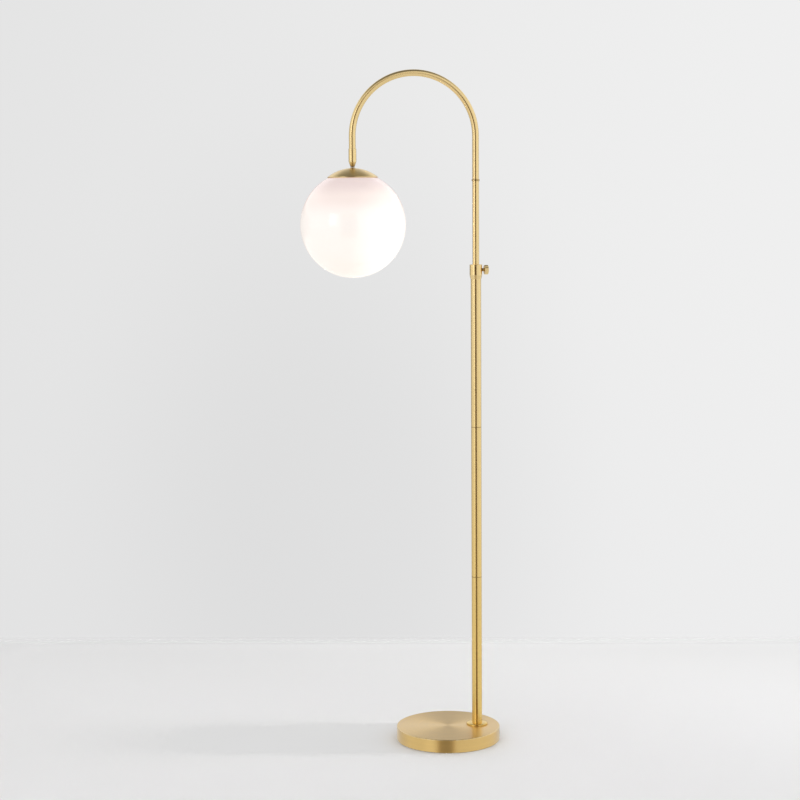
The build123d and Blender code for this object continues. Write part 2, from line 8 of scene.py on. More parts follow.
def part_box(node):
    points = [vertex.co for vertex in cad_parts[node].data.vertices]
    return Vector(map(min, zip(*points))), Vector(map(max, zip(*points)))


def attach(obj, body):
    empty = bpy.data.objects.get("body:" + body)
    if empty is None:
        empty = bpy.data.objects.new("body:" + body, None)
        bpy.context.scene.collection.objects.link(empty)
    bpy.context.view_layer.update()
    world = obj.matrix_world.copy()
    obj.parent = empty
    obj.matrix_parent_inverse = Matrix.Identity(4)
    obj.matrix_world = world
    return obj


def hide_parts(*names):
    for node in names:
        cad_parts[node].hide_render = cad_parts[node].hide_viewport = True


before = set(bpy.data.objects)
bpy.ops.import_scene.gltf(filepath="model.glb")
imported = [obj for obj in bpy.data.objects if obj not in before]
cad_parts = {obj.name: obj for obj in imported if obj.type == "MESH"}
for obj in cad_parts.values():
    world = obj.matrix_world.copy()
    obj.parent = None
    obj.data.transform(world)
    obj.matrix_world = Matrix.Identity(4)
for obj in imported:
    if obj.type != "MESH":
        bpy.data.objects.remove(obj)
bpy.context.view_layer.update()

print("frame loaded,", len(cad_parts), "nodes")

# ---- places taken from the frame
baseLow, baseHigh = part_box("base_cover")
poleLow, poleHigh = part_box("lower_pole")
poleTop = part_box("upper_pole")[1].z
globeLow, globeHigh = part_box("globe")
stemLow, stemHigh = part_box("stem_tube")
archLow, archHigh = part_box("arch_tube")
poleX = (poleLow.x + poleHigh.x) / 2
globeX = (globeLow.x + globeHigh.x) / 2
poleRadius = (poleHigh.x - poleLow.x) / 2
stemRadius = (stemHigh.x - stemLow.x) / 2
globeRadius = (globeHigh.x - globeLow.x) / 2
globeZ = globeLow.z + globeRadius
slip = 0.00005        # clearance of a fitted piece


def middle(node):
    low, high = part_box(node)
    return (low + high) / 2


# ---- camera
view = {
    "place": (-0.844, -4.333, 1.338),
    "turn": 9.55,       # degrees from +Y towards +X
    "dip": 6.393,       # degrees below level
    "roll": -0.426,
    "lens": 82.35,
}


def makeCamera():
    turn, dip = math.radians(view["turn"]), math.radians(view["dip"])
    ahead = Vector((math.sin(turn) * math.cos(dip), math.cos(turn) * math.cos(dip), -math.sin(dip)))
    data = bpy.data.cameras.new("mainCamera")
    data.lens = view["lens"]
    data.clip_end = 60
    camera = bpy.data.objects.new("mainCamera", data)
    camera.rotation_mode = "QUATERNION"
    camera.location = view["place"]
    roll = Quaternion((0, 0, 1), math.radians(view["roll"]))
    camera.rotation_quaternion = ahead.to_track_quat("-Z", "Y") @ roll
    bpy.context.scene.collection.objects.link(camera)
    bpy.context.scene.camera = camera


makeCamera()


# ---- node helpers
def addNode(tree, kind, inputs=None, **settings):
    node = tree.nodes.new(kind if kind.startswith("Geometry") else "ShaderNode" + kind)
    for key, value in settings.items():
        setattr(node, key, value)
    for key, value in (inputs or {}).items():
        if isinstance(value, bpy.types.NodeSocket):
            tree.links.new(value, node.inputs[key])
        else:
            node.inputs[key].default_value = value
    return node


def calc(tree, operation, a, b=0.0, c=0.0):
    return addNode(tree, "Math", {0: a, 1: b, 2: c}, operation=operation).outputs[0]


def smoothRange(tree, value, low, high, toLow=0.0, toHigh=1.0):
    inputs = {"Value": value, "From Min": low, "From Max": high, "To Min": toLow, "To Max": toHigh}
    return addNode(tree, "MapRange", inputs, interpolation_type="SMOOTHSTEP").outputs["Result"]


def mixColour(tree, share, a, b, blend="MIX"):
    node = addNode(tree, "Mix", data_type="RGBA", blend_type=blend)
    for socket, value in ((node.inputs[0], share), (node.inputs[6], a), (node.inputs[7], b)):
        if isinstance(value, bpy.types.NodeSocket):
            tree.links.new(value, socket)
        else:
            socket.default_value = value if isinstance(value, float) else (*value[:3], 1.0)
    return node.outputs[2]


def noiseAt(tree, place, scale, detail, roughness=0.5):
    inputs = {"Vector": place, "Scale": scale, "Detail": detail, "Roughness": roughness}
    return addNode(tree, "TexNoise", inputs).outputs[0]


def splitVector(tree, vector):
    return addNode(tree, "SeparateXYZ", {0: vector}).outputs


def vectorCalc(tree, operation, a, b=None):
    node = addNode(tree, "VectorMath", {0: a} if b is None else {0: a, 1: b}, operation=operation)
    return node.outputs["Value" if operation in ("DOT_PRODUCT", "LENGTH") else "Vector"]


def grey(tree, value):
    return addNode(tree, "CombineColor", {0: value, 1: value, 2: value}).outputs[0]


def newGroup(name, inputs, outputs):
    tree = bpy.data.node_groups.new(name, "ShaderNodeTree")
    for label, kind, value in inputs:
        socket = tree.interface.new_socket(label, in_out="INPUT", socket_type="NodeSocket" + kind)
        if value is not None:
            socket.default_value = value
    for label, kind in outputs:
        tree.interface.new_socket(label, in_out="OUTPUT", socket_type="NodeSocket" + kind)
    entry = tree.nodes.new("NodeGroupInput")
    leave = tree.nodes.new("NodeGroupOutput")
    return tree, entry.outputs, leave.inputs


def placeGroup(tree, group, **inputs):
    node = tree.nodes.new("ShaderNodeGroup")
    node.node_tree = group
    for key, value in inputs.items():
        if isinstance(value, bpy.types.NodeSocket):
            tree.links.new(value, node.inputs[key])
        else:
            node.inputs[key].default_value = value
    return node.outputs


# ---- shared surface effects
def makeBrushLines():
    # fine lines that run round a turned piece; U is metres along its outline, V is the share of a turn
    tree, entry, leave = newGroup(
        "brushLines",
        [("UV", "Vector", None), ("lines", "Float", 6000.0), ("reach", "Float", 1.2),
         ("contrast", "Float", 1.0)],
        [("height", "Float"), ("streak", "Float")],
    )
    parts = splitVector(tree, entry["UV"])
    turn = calc(tree, "MULTIPLY", parts[1], 2 * math.pi)
    across = calc(tree, "MULTIPLY", calc(tree, "COSINE", turn), entry["reach"])
    around = calc(tree, "MULTIPLY", calc(tree, "SINE", turn), entry["reach"])
    along = calc(tree, "MULTIPLY", parts[0], entry["lines"])
    place = addNode(tree, "CombineXYZ", {0: across, 1: around, 2: along}).outputs[0]
    fine = noiseAt(tree, place, 1.0, 3.0, 0.6)
    slow = calc(tree, "MULTIPLY", along, 0.06)
    broadPlace = addNode(tree, "CombineXYZ", {0: across, 1: around, 2: slow}).outputs[0]
    broad = noiseAt(tree, broadPlace, 1.0, 2.0)
    centred = calc(tree, "SUBTRACT", fine, 0.5)
    tree.links.new(calc(tree, "MULTIPLY_ADD", centred, entry["contrast"], 0.5), leave["height"])
    streak = calc(tree, "ADD", calc(tree, "MULTIPLY", fine, 0.45), calc(tree, "MULTIPLY", broad, 0.55))
    tree.links.new(streak, leave["streak"])
    return tree


def makeSoftTone():
    # slow drift of tone over a surface
    tree, entry, leave = newGroup(
        "softTone",
        [("place", "Vector", None), ("scale", "Float", 9.0), ("detail", "Float", 3.0), ("low", "Float", 0.35),
         ("high", "Float", 0.7)],
        [("mask", "Float")],
    )
    noise = noiseAt(tree, entry["place"], entry["scale"], entry["detail"])
    tree.links.new(smoothRange(tree, noise, entry["low"], entry["high"]), leave["mask"])
    return tree


def makeEdgeWear():
    # 1 on rubbed edges; rim is 1 on a piece's rounded corners
    tree, entry, leave = newGroup(
        "edgeWear",
        [("place", "Vector", None), ("rim", "Float", 0.0), ("scale", "Float", 240.0),
         ("amount", "Float", 0.6)],
        [("mask", "Float")],
    )
    noise = noiseAt(tree, entry["place"], entry["scale"], 4.0)
    rubbed = calc(tree, "MULTIPLY", entry["rim"], smoothRange(tree, noise, 0.3, 0.62))
    tree.links.new(calc(tree, "MULTIPLY", rubbed, entry["amount"]), leave["mask"])
    return tree


def makeDustFilm():
    # thin dust on faces that look up
    tree, entry, leave = newGroup(
        "dustFilm",
        [("place", "Vector", None), ("amount", "Float", 0.1), ("scale", "Float", 60.0)],
        [("mask", "Float")],
    )
    facing = splitVector(tree, addNode(tree, "NewGeometry").outputs["Normal"])[2]
    noise = noiseAt(tree, entry["place"], entry["scale"], 6.0)
    settled = calc(tree, "MULTIPLY", smoothRange(tree, facing, 0.55, 1.0), smoothRange(tree, noise, 0.3, 0.8))
    tree.links.new(calc(tree, "MULTIPLY", settled, entry["amount"]), leave["mask"])
    return tree


def makeGrit():
    # cast, moulded or pressed grain
    tree, entry, leave = newGroup(
        "grit",
        [("place", "Vector", None), ("scale", "Float", 700.0), ("lumps", "Float", 90.0),
         ("share", "Float", 0.5)],
        [("height", "Float"), ("mask", "Float")],
    )
    fine = noiseAt(tree, entry["place"], entry["scale"], 4.0)
    cells = addNode(tree, "TexVoronoi", {"Vector": entry["place"], "Scale": entry["lumps"]})
    inputs = {0: entry["share"], 2: fine, 3: cells.outputs["Distance"]}
    tree.links.new(addNode(tree, "Mix", inputs, data_type="FLOAT").outputs[0], leave["height"])
    tree.links.new(fine, leave["mask"])
    return tree


brushLines = makeBrushLines()
softTone = makeSoftTone()
edgeWear = makeEdgeWear()
dustFilm = makeDustFilm()
grit = makeGrit()


# ---- materials
def startMaterial(name):
    material = bpy.data.materials.new(name)
    material.use_nodes = True
    tree = material.node_tree
    tree.nodes.clear()
    shader = tree.nodes.new("ShaderNodeBsdfPrincipled")
    out = tree.nodes.new("ShaderNodeOutputMaterial")
    tree.links.new(shader.outputs[0], out.inputs[0])
    coords = tree.nodes.new("ShaderNodeTexCoord").outputs
    return material, tree, shader, coords


def bump(tree, height, distance, strength=1.0):
    inputs = {"Height": height, "Distance": distance, "Strength": strength}
    return addNode(tree, "Bump", inputs).outputs[0]


brassLook = {
    "pale": (0.90, 0.69, 0.335),      # lacquered brass, high up
    "paintedLowShade": (0.86, 0.61, 0.205),      # painted shade: darker, more orange brass towards the floor
    "rubbed": (0.95, 0.80, 0.50),
    "tarnish": (0.62, 0.41, 0.15),
    "paintedShade": (0.16, 0.085, 0.02),     # painted shade in corners, grooves and gaps between parts
    "dust": (0.6, 0.57, 0.52),
    "fade": (0.05, 1.15),             # heights between which the painted low shade turns into pale
    "lacquerRoughness": 0.22,
}


def makeBrass(name, roughness=0.3, anisotropy=0.85, lines=5000.0, relief=0.000002, spread=0.06, wear=0.5,
              tint=(1.0, 1.0, 1.0), dust=0.03, lacquer=0.15):
    material, tree, shader, coords = startMaterial(name)
    here, uv = coords["Object"], coords["UV"]
    drift = placeGroup(tree, softTone, place=here, scale=7.0)["mask"]
    lineSet = placeGroup(tree, brushLines, UV=uv, lines=lines)
    rim = addNode(tree, "Attribute", attribute_name="rim").outputs["Fac"]
    worn = placeGroup(tree, edgeWear, place=here, rim=rim, amount=wear)["mask"]
    film = placeGroup(tree, dustFilm, place=here, amount=dust)["mask"]
    height = splitVector(tree, here)[2]
    # painted shade: the brass turns darker and more orange lower down
    fade = smoothRange(tree, height, *brassLook["fade"])
    tone = mixColour(tree, fade, brassLook["paintedLowShade"], brassLook["pale"])
    tone = mixColour(tree, calc(tree, "MULTIPLY", drift, 0.12), tone, brassLook["tarnish"])
    streaks = smoothRange(tree, lineSet["streak"], 0.3, 0.7, 0.965, 1.03)
    tone = mixColour(tree, 1.0, tone, grey(tree, streaks), "MULTIPLY")
    tone = mixColour(tree, 1.0, tone, tint, "MULTIPLY")
    tone = mixColour(tree, worn, tone, brassLook["rubbed"])
    tone = mixColour(tree, film, tone, brassLook["dust"])
    # painted shade in corners and gaps, read from the mesh attribute
    shadedShare = addNode(tree, "Attribute", attribute_name="paintedShade").outputs["Fac"]
    tone = mixColour(tree, shadedShare, tone, brassLook["paintedShade"])
    tree.links.new(tone, shader.inputs["Base Color"])
    rough = calc(tree, "MULTIPLY_ADD", calc(tree, "SUBTRACT", lineSet["streak"], 0.5), spread, roughness)
    rough = calc(tree, "ADD", rough, calc(tree, "MULTIPLY", film, 0.5))
    tree.links.new(rough, shader.inputs["Roughness"])
    tree.links.new(bump(tree, lineSet["height"], relief), shader.inputs["Normal"])
    shader.inputs["Metallic"].default_value = 1.0
    shader.inputs["Anisotropic"].default_value = anisotropy
    shader.inputs["Coat Weight"].default_value = lacquer
    shader.inputs["Coat Roughness"].default_value = brassLook["lacquerRoughness"]
    tangent = addNode(tree, "Tangent", direction_type="UV_MAP", uv_map="surface")
    tree.links.new(tangent.outputs[0], shader.inputs["Tangent"])
    return material


plainLook = {"dust": (0.6, 0.58, 0.54), "dustShare": 0.05, "spread": 0.15, "sheenRoughness": 0.6}


def makePlain(name, colour, other, roughness, metallic=0.0, grain=500.0, lumps=80.0, share=0.3,
              relief=0.00002, sheen=0.0, scale=30.0):
    material, tree, shader, coords = startMaterial(name)
    here = coords["Object"]
    patch = placeGroup(tree, softTone, place=here, scale=scale)["mask"]
    grainSet = placeGroup(tree, grit, place=here, scale=grain, lumps=lumps, share=share)
    film = placeGroup(tree, dustFilm, place=here, amount=plainLook["dustShare"])["mask"]
    tone = mixColour(tree, patch, colour, other)
    tone = mixColour(tree, calc(tree, "MULTIPLY", grainSet["mask"], 0.25), tone, other)
    tone = mixColour(tree, film, tone, plainLook["dust"])
    tree.links.new(tone, shader.inputs["Base Color"])
    grainy = calc(tree, "SUBTRACT", grainSet["mask"], 0.5)
    rough = calc(tree, "MULTIPLY_ADD", grainy, plainLook["spread"], roughness)
    tree.links.new(rough, shader.inputs["Roughness"])
    tree.links.new(bump(tree, grainSet["height"], relief), shader.inputs["Normal"])
    shader.inputs["Metallic"].default_value = metallic
    if sheen:
        shader.inputs["Sheen Weight"].default_value = sheen
        shader.inputs["Sheen Roughness"].default_value = plainLook["sheenRoughness"]
    return material


opalLook = {
    "body": (0.62, 0.60, 0.59),
    "cloudy": (0.66, 0.63, 0.60),
    "glow": 1.0,
    "roughness": (0.07, 0.12),
    "ripple": 0.0004,
    # share of the globe's height, colour of the bulb's light shining through as painted glow, falling dark
    # towards the top as painted shade of the lampholder and cap
    "glowShadeBands": [
        (0.00, (0.50, 0.43, 0.36)),
        (0.30, (0.50, 0.45, 0.40)),
        (0.55, (0.50, 0.45, 0.41)),
        (0.78, (0.43, 0.32, 0.28)),
        (0.93, (0.29, 0.17, 0.16)),
        (1.00, (0.26, 0.15, 0.15)),
    ],
}


def makeOpal():
    # blown opal glass: cloudy white with a glossy skin; the bulb's light is painted on as glow, brightest
    # below the lampholder, with painted shade near the cap
    material, tree, shader, coords = startMaterial("opalGlass")
    here = coords["Object"]
    # painted glow of the bulb by height, darkening near the cap as painted shade
    inputs = {"Value": splitVector(tree, here)[2], "From Min": globeLow.z, "From Max": globeHigh.z}
    share = addNode(tree, "MapRange", inputs).outputs[0]
    cloud = noiseAt(tree, here, 14.0, 2.0)
    wave = calc(tree, "MULTIPLY_ADD", calc(tree, "SUBTRACT", cloud, 0.5), 0.06, share)
    ramp = addNode(tree, "ValToRGB", {0: wave})
    ramp.color_ramp.interpolation = "EASE"
    stops = ramp.color_ramp.elements
    for n, (place, colour) in enumerate(opalLook["glowShadeBands"]):
        stop = stops[n] if n < 2 else stops.new(place)
        stop.position = place
        stop.color = (*colour, 1.0)
    tree.links.new(ramp.outputs[0], shader.inputs["Emission Color"])
    shader.inputs["Emission Strength"].default_value = opalLook["glow"]
    patch = placeGroup(tree, softTone, place=here, scale=6.0)["mask"]
    body = mixColour(tree, calc(tree, "MULTIPLY", patch, 0.3), opalLook["body"], opalLook["cloudy"])
    tree.links.new(body, shader.inputs["Base Color"])
    tree.links.new(smoothRange(tree, cloud, 0.3, 0.7, *opalLook["roughness"]), shader.inputs["Roughness"])
    tree.links.new(bump(tree, noiseAt(tree, here, 22.0, 1.0), opalLook["ripple"]), shader.inputs["Normal"])
    shader.inputs["IOR"].default_value = 1.5
    shader.inputs["Coat Weight"].default_value = 0.3
    shader.inputs["Coat Roughness"].default_value = 0.04
    return material


bulbLook = {
    "body": (0.92, 0.90, 0.86), "cloudy": (0.88, 0.84, 0.78), "light": (1.0, 0.86, 0.66),
    "warmLight": (1.0, 0.82, 0.60), "roughness": (0.35, 0.45), "glow": 3.0,
}


def makeBulbGlass():
    material, tree, shader, coords = startMaterial("bulbGlass")
    patch = placeGroup(tree, softTone, place=coords["Object"], scale=40.0)["mask"]
    body = mixColour(tree, patch, bulbLook["body"], bulbLook["cloudy"])
    light = mixColour(tree, patch, bulbLook["light"], bulbLook["warmLight"])
    tree.links.new(body, shader.inputs["Base Color"])
    tree.links.new(light, shader.inputs["Emission Color"])
    tree.links.new(smoothRange(tree, patch, 0.0, 1.0, *bulbLook["roughness"]), shader.inputs["Roughness"])
    shader.inputs["Emission Strength"].default_value = bulbLook["glow"]
    return material


tubeBrass = makeBrass("tubeBrass", roughness=0.24, anisotropy=0.96, lines=2400.0, relief=0.0000004,
                      spread=0.03)
turnedBrass = makeBrass("turnedBrass", roughness=0.24, anisotropy=0.88, lines=7000.0)
spunBrass = makeBrass("spunBrass", roughness=0.36, lines=2600.0, relief=0.000003, spread=0.1,
                      tint=(0.93, 0.90, 0.96), dust=0.06, lacquer=0.55)
capBrass = makeBrass("capBrass", roughness=0.34, anisotropy=0.8, lines=3400.0, spread=0.1, dust=0.05)
zincSteel = makePlain("zincSteel", (0.60, 0.60, 0.61), (0.48, 0.48, 0.50), roughness=0.34, metallic=1.0,
                      grain=900.0, lumps=120.0, share=0.2, relief=0.000008)
castIron = makePlain("castIron", (0.09, 0.09, 0.095), (0.05, 0.05, 0.052), roughness=0.7, metallic=0.4,
                     lumps=160.0, share=0.6, relief=0.0003)
pressedFelt = makePlain("pressedFelt", (0.035, 0.038, 0.036), (0.06, 0.064, 0.06), roughness=0.95,
                        grain=2600.0, lumps=900.0, share=0.4, relief=0.0004, sheen=0.5, scale=200.0)
blackRubber = makePlain("blackRubber", (0.02, 0.02, 0.021), (0.035, 0.035, 0.036), roughness=0.6,
                        grain=1500.0, lumps=300.0, share=0.2, scale=90.0)
milkyNylon = makePlain("milkyNylon", (0.80, 0.79, 0.74), (0.74, 0.72, 0.66), roughness=0.45,
                       grain=1200.0, lumps=200.0, share=0.2, relief=0.00001, scale=120.0)
creamPlastic = makePlain("creamPlastic", (0.82, 0.80, 0.75), (0.77, 0.75, 0.70), roughness=0.28,
                         grain=900.0, lumps=200.0, share=0.2, relief=0.00001, scale=70.0)
whiteSteatite = makePlain("whiteSteatite", (0.86, 0.85, 0.82), (0.80, 0.78, 0.74), roughness=0.22,
                          grain=1500.0, lumps=300.0, scale=150.0)
contactBrass = makePlain("contactBrass", (0.80, 0.66, 0.36), (0.66, 0.50, 0.24), roughness=0.26, metallic=1.0,
                         grain=1500.0, lumps=200.0, share=0.2, relief=0.000006, scale=120.0)
leadSheath = makePlain("leadSheath", (0.66, 0.64, 0.58), (0.58, 0.56, 0.50), roughness=0.5,
                       grain=1800.0, lumps=400.0, share=0.2, scale=60.0)
opalGlass = makeOpal()
bulbGlass = makeBulbGlass()
print("materials made,", len(bpy.data.materials))


# ---- shape helpers
def roundedOutline(corners, arcSteps=4, support=0.0006):
    # closed outline of (radius, height, rounding) corners; returns (radius, height, mark) points,
    # where a mark above 0 is a rubbed edge and one below 0 holds painted shade
    points = []
    for n, (x, z, rounding) in enumerate(corners):
        here = Vector((x, z))
        before, after = Vector(corners[n - 1][:2]), Vector(corners[(n + 1) % len(corners)][:2])
        if rounding <= 0:
            points.append((x, z, 0.0))
            continue
        back, on = (before - here), (after - here)
        backLength, onLength = back.length, on.length
        back.normalize()
        on.normalize()
        half = back.angle(on) / 2
        cut = rounding / math.tan(half)
        centre = here + (back + on).normalized() * rounding / math.sin(half)
        start, end = here + back * cut - centre, here + on * cut - centre
        first = here + back * (cut + min(support, 0.2 * max(backLength - cut, 0)))
        last = here + on * (cut + min(support, 0.2 * max(onLength - cut, 0)))
        begin = math.atan2(start.y, start.x)
        sweep = (math.atan2(end.y, end.x) - begin + math.pi) % (2 * math.pi) - math.pi
        points.append((first.x, first.y, 0.0))
        for step in range(arcSteps + 1):
            angle = begin + sweep * step / arcSteps
            points.append((centre.x + rounding * math.cos(angle), centre.y + rounding * math.sin(angle), 1.0))
        points.append((last.x, last.y, 0.0))
    return points


def arcPoints(centre, radius, start, end, steps):
    # points of an arc in an outline, angles in degrees from the radius direction
    turns = [math.radians(start + (end - start) * n / steps) for n in range(steps + 1)]
    return [(centre[0] + radius * math.cos(t), centre[1] + radius * math.sin(t), 0.0) for t in turns]


def shadeBand(outline, low, high, amount):
    # painted shade on the part of an outline between two heights
    return [(x, z, -amount if low <= z <= high else mark) for x, z, mark in outline]


def lathe(name, outline, centre=(0.0, 0.0), segments=96, place=None):
    # turns a closed outline round a line parallel to Z, or carried by place
    mesh = bpy.data.meshes.new(name)
    build = bmesh.new()
    # rim marks rubbed edges; the second layer carries painted shade
    rim, paintedShade = build.verts.layers.float.new("rim"), build.verts.layers.float.new("paintedShade")
    uvs = build.loops.layers.uv.new("surface")
    rings, lengths, total = [], [], 0.0
    for n, (x, z, edge) in enumerate(outline):
        if n:
            total += math.dist(outline[n - 1][:2], (x, z))
        lengths.append(total)
        if x < 1e-7:
            vert = build.verts.new((0.0, 0.0, z))
            vert[rim], vert[paintedShade] = max(edge, 0.0), max(-edge, 0.0)
            rings.append([vert])
            continue
        ring = []
        for s in range(segments):
            turn = 2 * math.pi * s / segments
            vert = build.verts.new((x * math.cos(turn), x * math.sin(turn), z))
            vert[rim], vert[paintedShade] = max(edge, 0.0), max(-edge, 0.0)
            ring.append(vert)
        rings.append(ring)
    closing = total + math.dist(outline[-1][:2], outline[0][:2])
    for n, ring in enumerate(rings):
        other = rings[(n + 1) % len(rings)]
        u0, u1 = lengths[n], lengths[n + 1] if n + 1 < len(rings) else closing
        if len(ring) == 1 and len(other) == 1:
            continue
        for s in range(segments):
            v0, v1 = s / segments, (s + 1) / segments
            t = (s + 1) % segments
            if len(ring) == 1:
                face = build.faces.new((ring[0], other[s], other[t]))
                marks = ((u0, (v0 + v1) / 2), (u1, v0), (u1, v1))
            elif len(other) == 1:
                face = build.faces.new((ring[s], other[0], ring[t]))
                marks = ((u0, v0), (u1, (v0 + v1) / 2), (u0, v1))
            else:
                face = build.faces.new((ring[s], other[s], other[t], ring[t]))
                marks = ((u0, v0), (u1, v0), (u1, v1), (u0, v1))
            for loop, mark in zip(face.loops, marks):
                loop[uvs].uv = mark
    bmesh.ops.recalc_face_normals(build, faces=build.faces)
    build.to_mesh(mesh)
    build.free()
    mesh.transform(place if place else Matrix.Translation((centre[0], centre[1], 0.0)))
    piece = bpy.data.objects.new(name, mesh)
    bpy.context.scene.collection.objects.link(piece)
    return piece


def smooth(piece, angle=34.0):
    piece.data.shade_smooth()
    piece.data.set_sharp_from_angle(angle=math.radians(angle))


def finishPiece(piece, material, body, slot, *nodes, angle=34.0):
    piece.data.materials.clear()
    piece.data.materials.append(material)
    smooth(piece, angle)
    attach(piece, body)
    if nodes:
        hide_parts(*nodes)
    return piece


def plainMesh(piece):
    # the evaluated piece as a mesh with no modifiers
    bpy.context.view_layer.update()
    graph = bpy.context.evaluated_depsgraph_get()
    mesh = bpy.data.meshes.new_from_object(piece.evaluated_get(graph), depsgraph=graph)
    piece.modifiers.clear()
    piece.data = mesh
    mesh.name = piece.name
    return piece


def cutWith(piece, cutter):
    cut = piece.modifiers.new("cut", "BOOLEAN")
    cut.object, cut.operation, cut.solver = cutter, "DIFFERENCE", "EXACT"
    plainMesh(piece)
    bpy.data.objects.remove(cutter)


# ---- floor, backdrop colour and light
studio = {
    "backdropHigh": (0.788, 0.788, 0.788),
    "backdropLow": (0.775, 0.775, 0.777),
    "backdropRise": (-0.26, 0.0),     # heights between which low turns into high
    "backdropSideLight": (0.98, 1.10),    # painted light: share of its tone towards -X and towards +X, lighter where the light comes from
    "sideReach": (-0.15, 0.42),
    "floor": (0.79, 0.79, 0.79),
    "floorMottle": 0.985,
    "litFarFloor": (0.85, 0.85, 0.85),   # painted light: lighter away towards +X and +Y, where the light falls
    "farReach": (0.1, 1.3),
    "floorFade": (1.5, 2.15),         # metres from the lamp, where the floor melts into the backdrop
    "floorBack": (0.94, 1.06),        # metres behind the lamp, where the floor meets the backdrop
    "backTurn": 11.0,                 # degrees that the backdrop is turned from +Y towards +X
    "dimWay": (0.126, 0.976, -0.176),  # a painted soft shadow on the backdrop
    "dimShape": (1, 1, 0.6),
    "dimReach": (0.03, 0.17),
    "dimShare": 0.92,
    "roomLight": 0.80,
    "walls": 0.92,
    "backWall": 0.42,                 # share of the walls' light that comes level from behind
    "backReach": (0.1, 0.8),
    "backHeight": (0.26, 0.1),
    "brightSide": 1.15,
    "brightReach": (0.3, 0.95),
    "ceiling": 0.19,
    "ceilingEdge": (0.5, 0.86),
    "ground": 0.80,
    "groundEdge": (-0.05, -0.2),
    "flagTurn": -16.0,                # a dark strip before the lamp, in degrees from -Y towards -X
    "flagWidth": (13.0, 21.0),
    "flagFoot": (-0.55, -0.25),
    "flagHead": (0.55, 0.2),
    "flagEdge": (0.8, 1.3, 2.2),      # how soon each colour darkens into the strip
}


def makeWorld():
    world = bpy.data.worlds.new("studioWorld")
    bpy.context.scene.world = world
    world.use_nodes = True
    tree = world.node_tree
    tree.nodes.clear()
    look = addNode(tree, "TexCoord").outputs["Generated"]
    way = vectorCalc(tree, "NORMALIZE", look)
    height = splitVector(tree, way)[2]
    level = vectorCalc(tree, "NORMALIZE", vectorCalc(tree, "MULTIPLY", way, (1, 1, 0)))
    turn = math.radians(studio["flagTurn"])
    near = vectorCalc(tree, "DOT_PRODUCT", level, (math.sin(turn), -math.cos(turn), 0))
    narrow, wide = (math.cos(math.radians(a)) for a in studio["flagWidth"])
    strip = smoothRange(tree, near, wide, narrow)
    for edge in ("flagFoot", "flagHead"):
        strip = calc(tree, "MULTIPLY", strip, smoothRange(tree, height, *studio[edge]))
    aside, ahead = splitVector(tree, level)[:2]
    walls = smoothRange(tree, height, *studio["ceilingEdge"], studio["walls"], studio["ceiling"])
    bright = smoothRange(tree, aside, *studio["brightReach"], 1.0, studio["brightSide"])
    walls = calc(tree, "MULTIPLY", walls, bright)
    inputs = {0: smoothRange(tree, height, *studio["groundEdge"]), 2: walls, 3: studio["ground"]}
    room = addNode(tree, "Mix", inputs, data_type="FLOAT").outputs[0]
    behind = calc(tree, "MULTIPLY", smoothRange(tree, ahead, *studio["backReach"]),
                  smoothRange(tree, calc(tree, "ABSOLUTE", height), *studio["backHeight"]))
    room = calc(tree, "MULTIPLY", room, smoothRange(tree, behind, 0.0, 1.0, 1.0, studio["backWall"]))
    clear = calc(tree, "SUBTRACT", 1.0, strip)
    parts = [calc(tree, "MULTIPLY", room, calc(tree, "POWER", clear, power)) for power in studio["flagEdge"]]
    seen = addNode(tree, "CombineColor", dict(enumerate(parts))).outputs[0]
    gloss = addNode(tree, "Background", {0: seen}).outputs[0]
    rise = smoothRange(tree, height, *studio["backdropRise"])
    backdrop = mixColour(tree, rise, studio["backdropLow"], studio["backdropHigh"])
    # painted light on the backdrop, brighter towards +X
    sides = smoothRange(tree, aside, *studio["sideReach"], *studio["backdropSideLight"])
    backdrop = mixColour(tree, 1.0, backdrop, grey(tree, sides), "MULTIPLY")
    # painted soft shadow on the backdrop
    offset = vectorCalc(tree, "SUBTRACT", way, studio["dimWay"])
    reach = vectorCalc(tree, "LENGTH", vectorCalc(tree, "MULTIPLY", offset, studio["dimShape"]))
    dim = smoothRange(tree, reach, *studio["dimReach"], studio["dimShare"], 1.0)
    backdrop = mixColour(tree, 1.0, backdrop, grey(tree, dim), "MULTIPLY")
    plain = addNode(tree, "Background", {0: backdrop}).outputs[0]
    soft = addNode(tree, "Background", {0: (1, 1, 1, 1), 1: studio["roomLight"]}).outputs[0]
    rays = addNode(tree, "LightPath").outputs
    shown = addNode(tree, "MixShader", {0: rays["Is Diffuse Ray"], 1: gloss, 2: soft}).outputs[0]
    final = addNode(tree, "MixShader", {0: rays["Is Camera Ray"], 1: shown, 2: plain}).outputs[0]
    out = addNode(tree, "OutputWorld")
    tree.links.new(final, out.inputs[0])


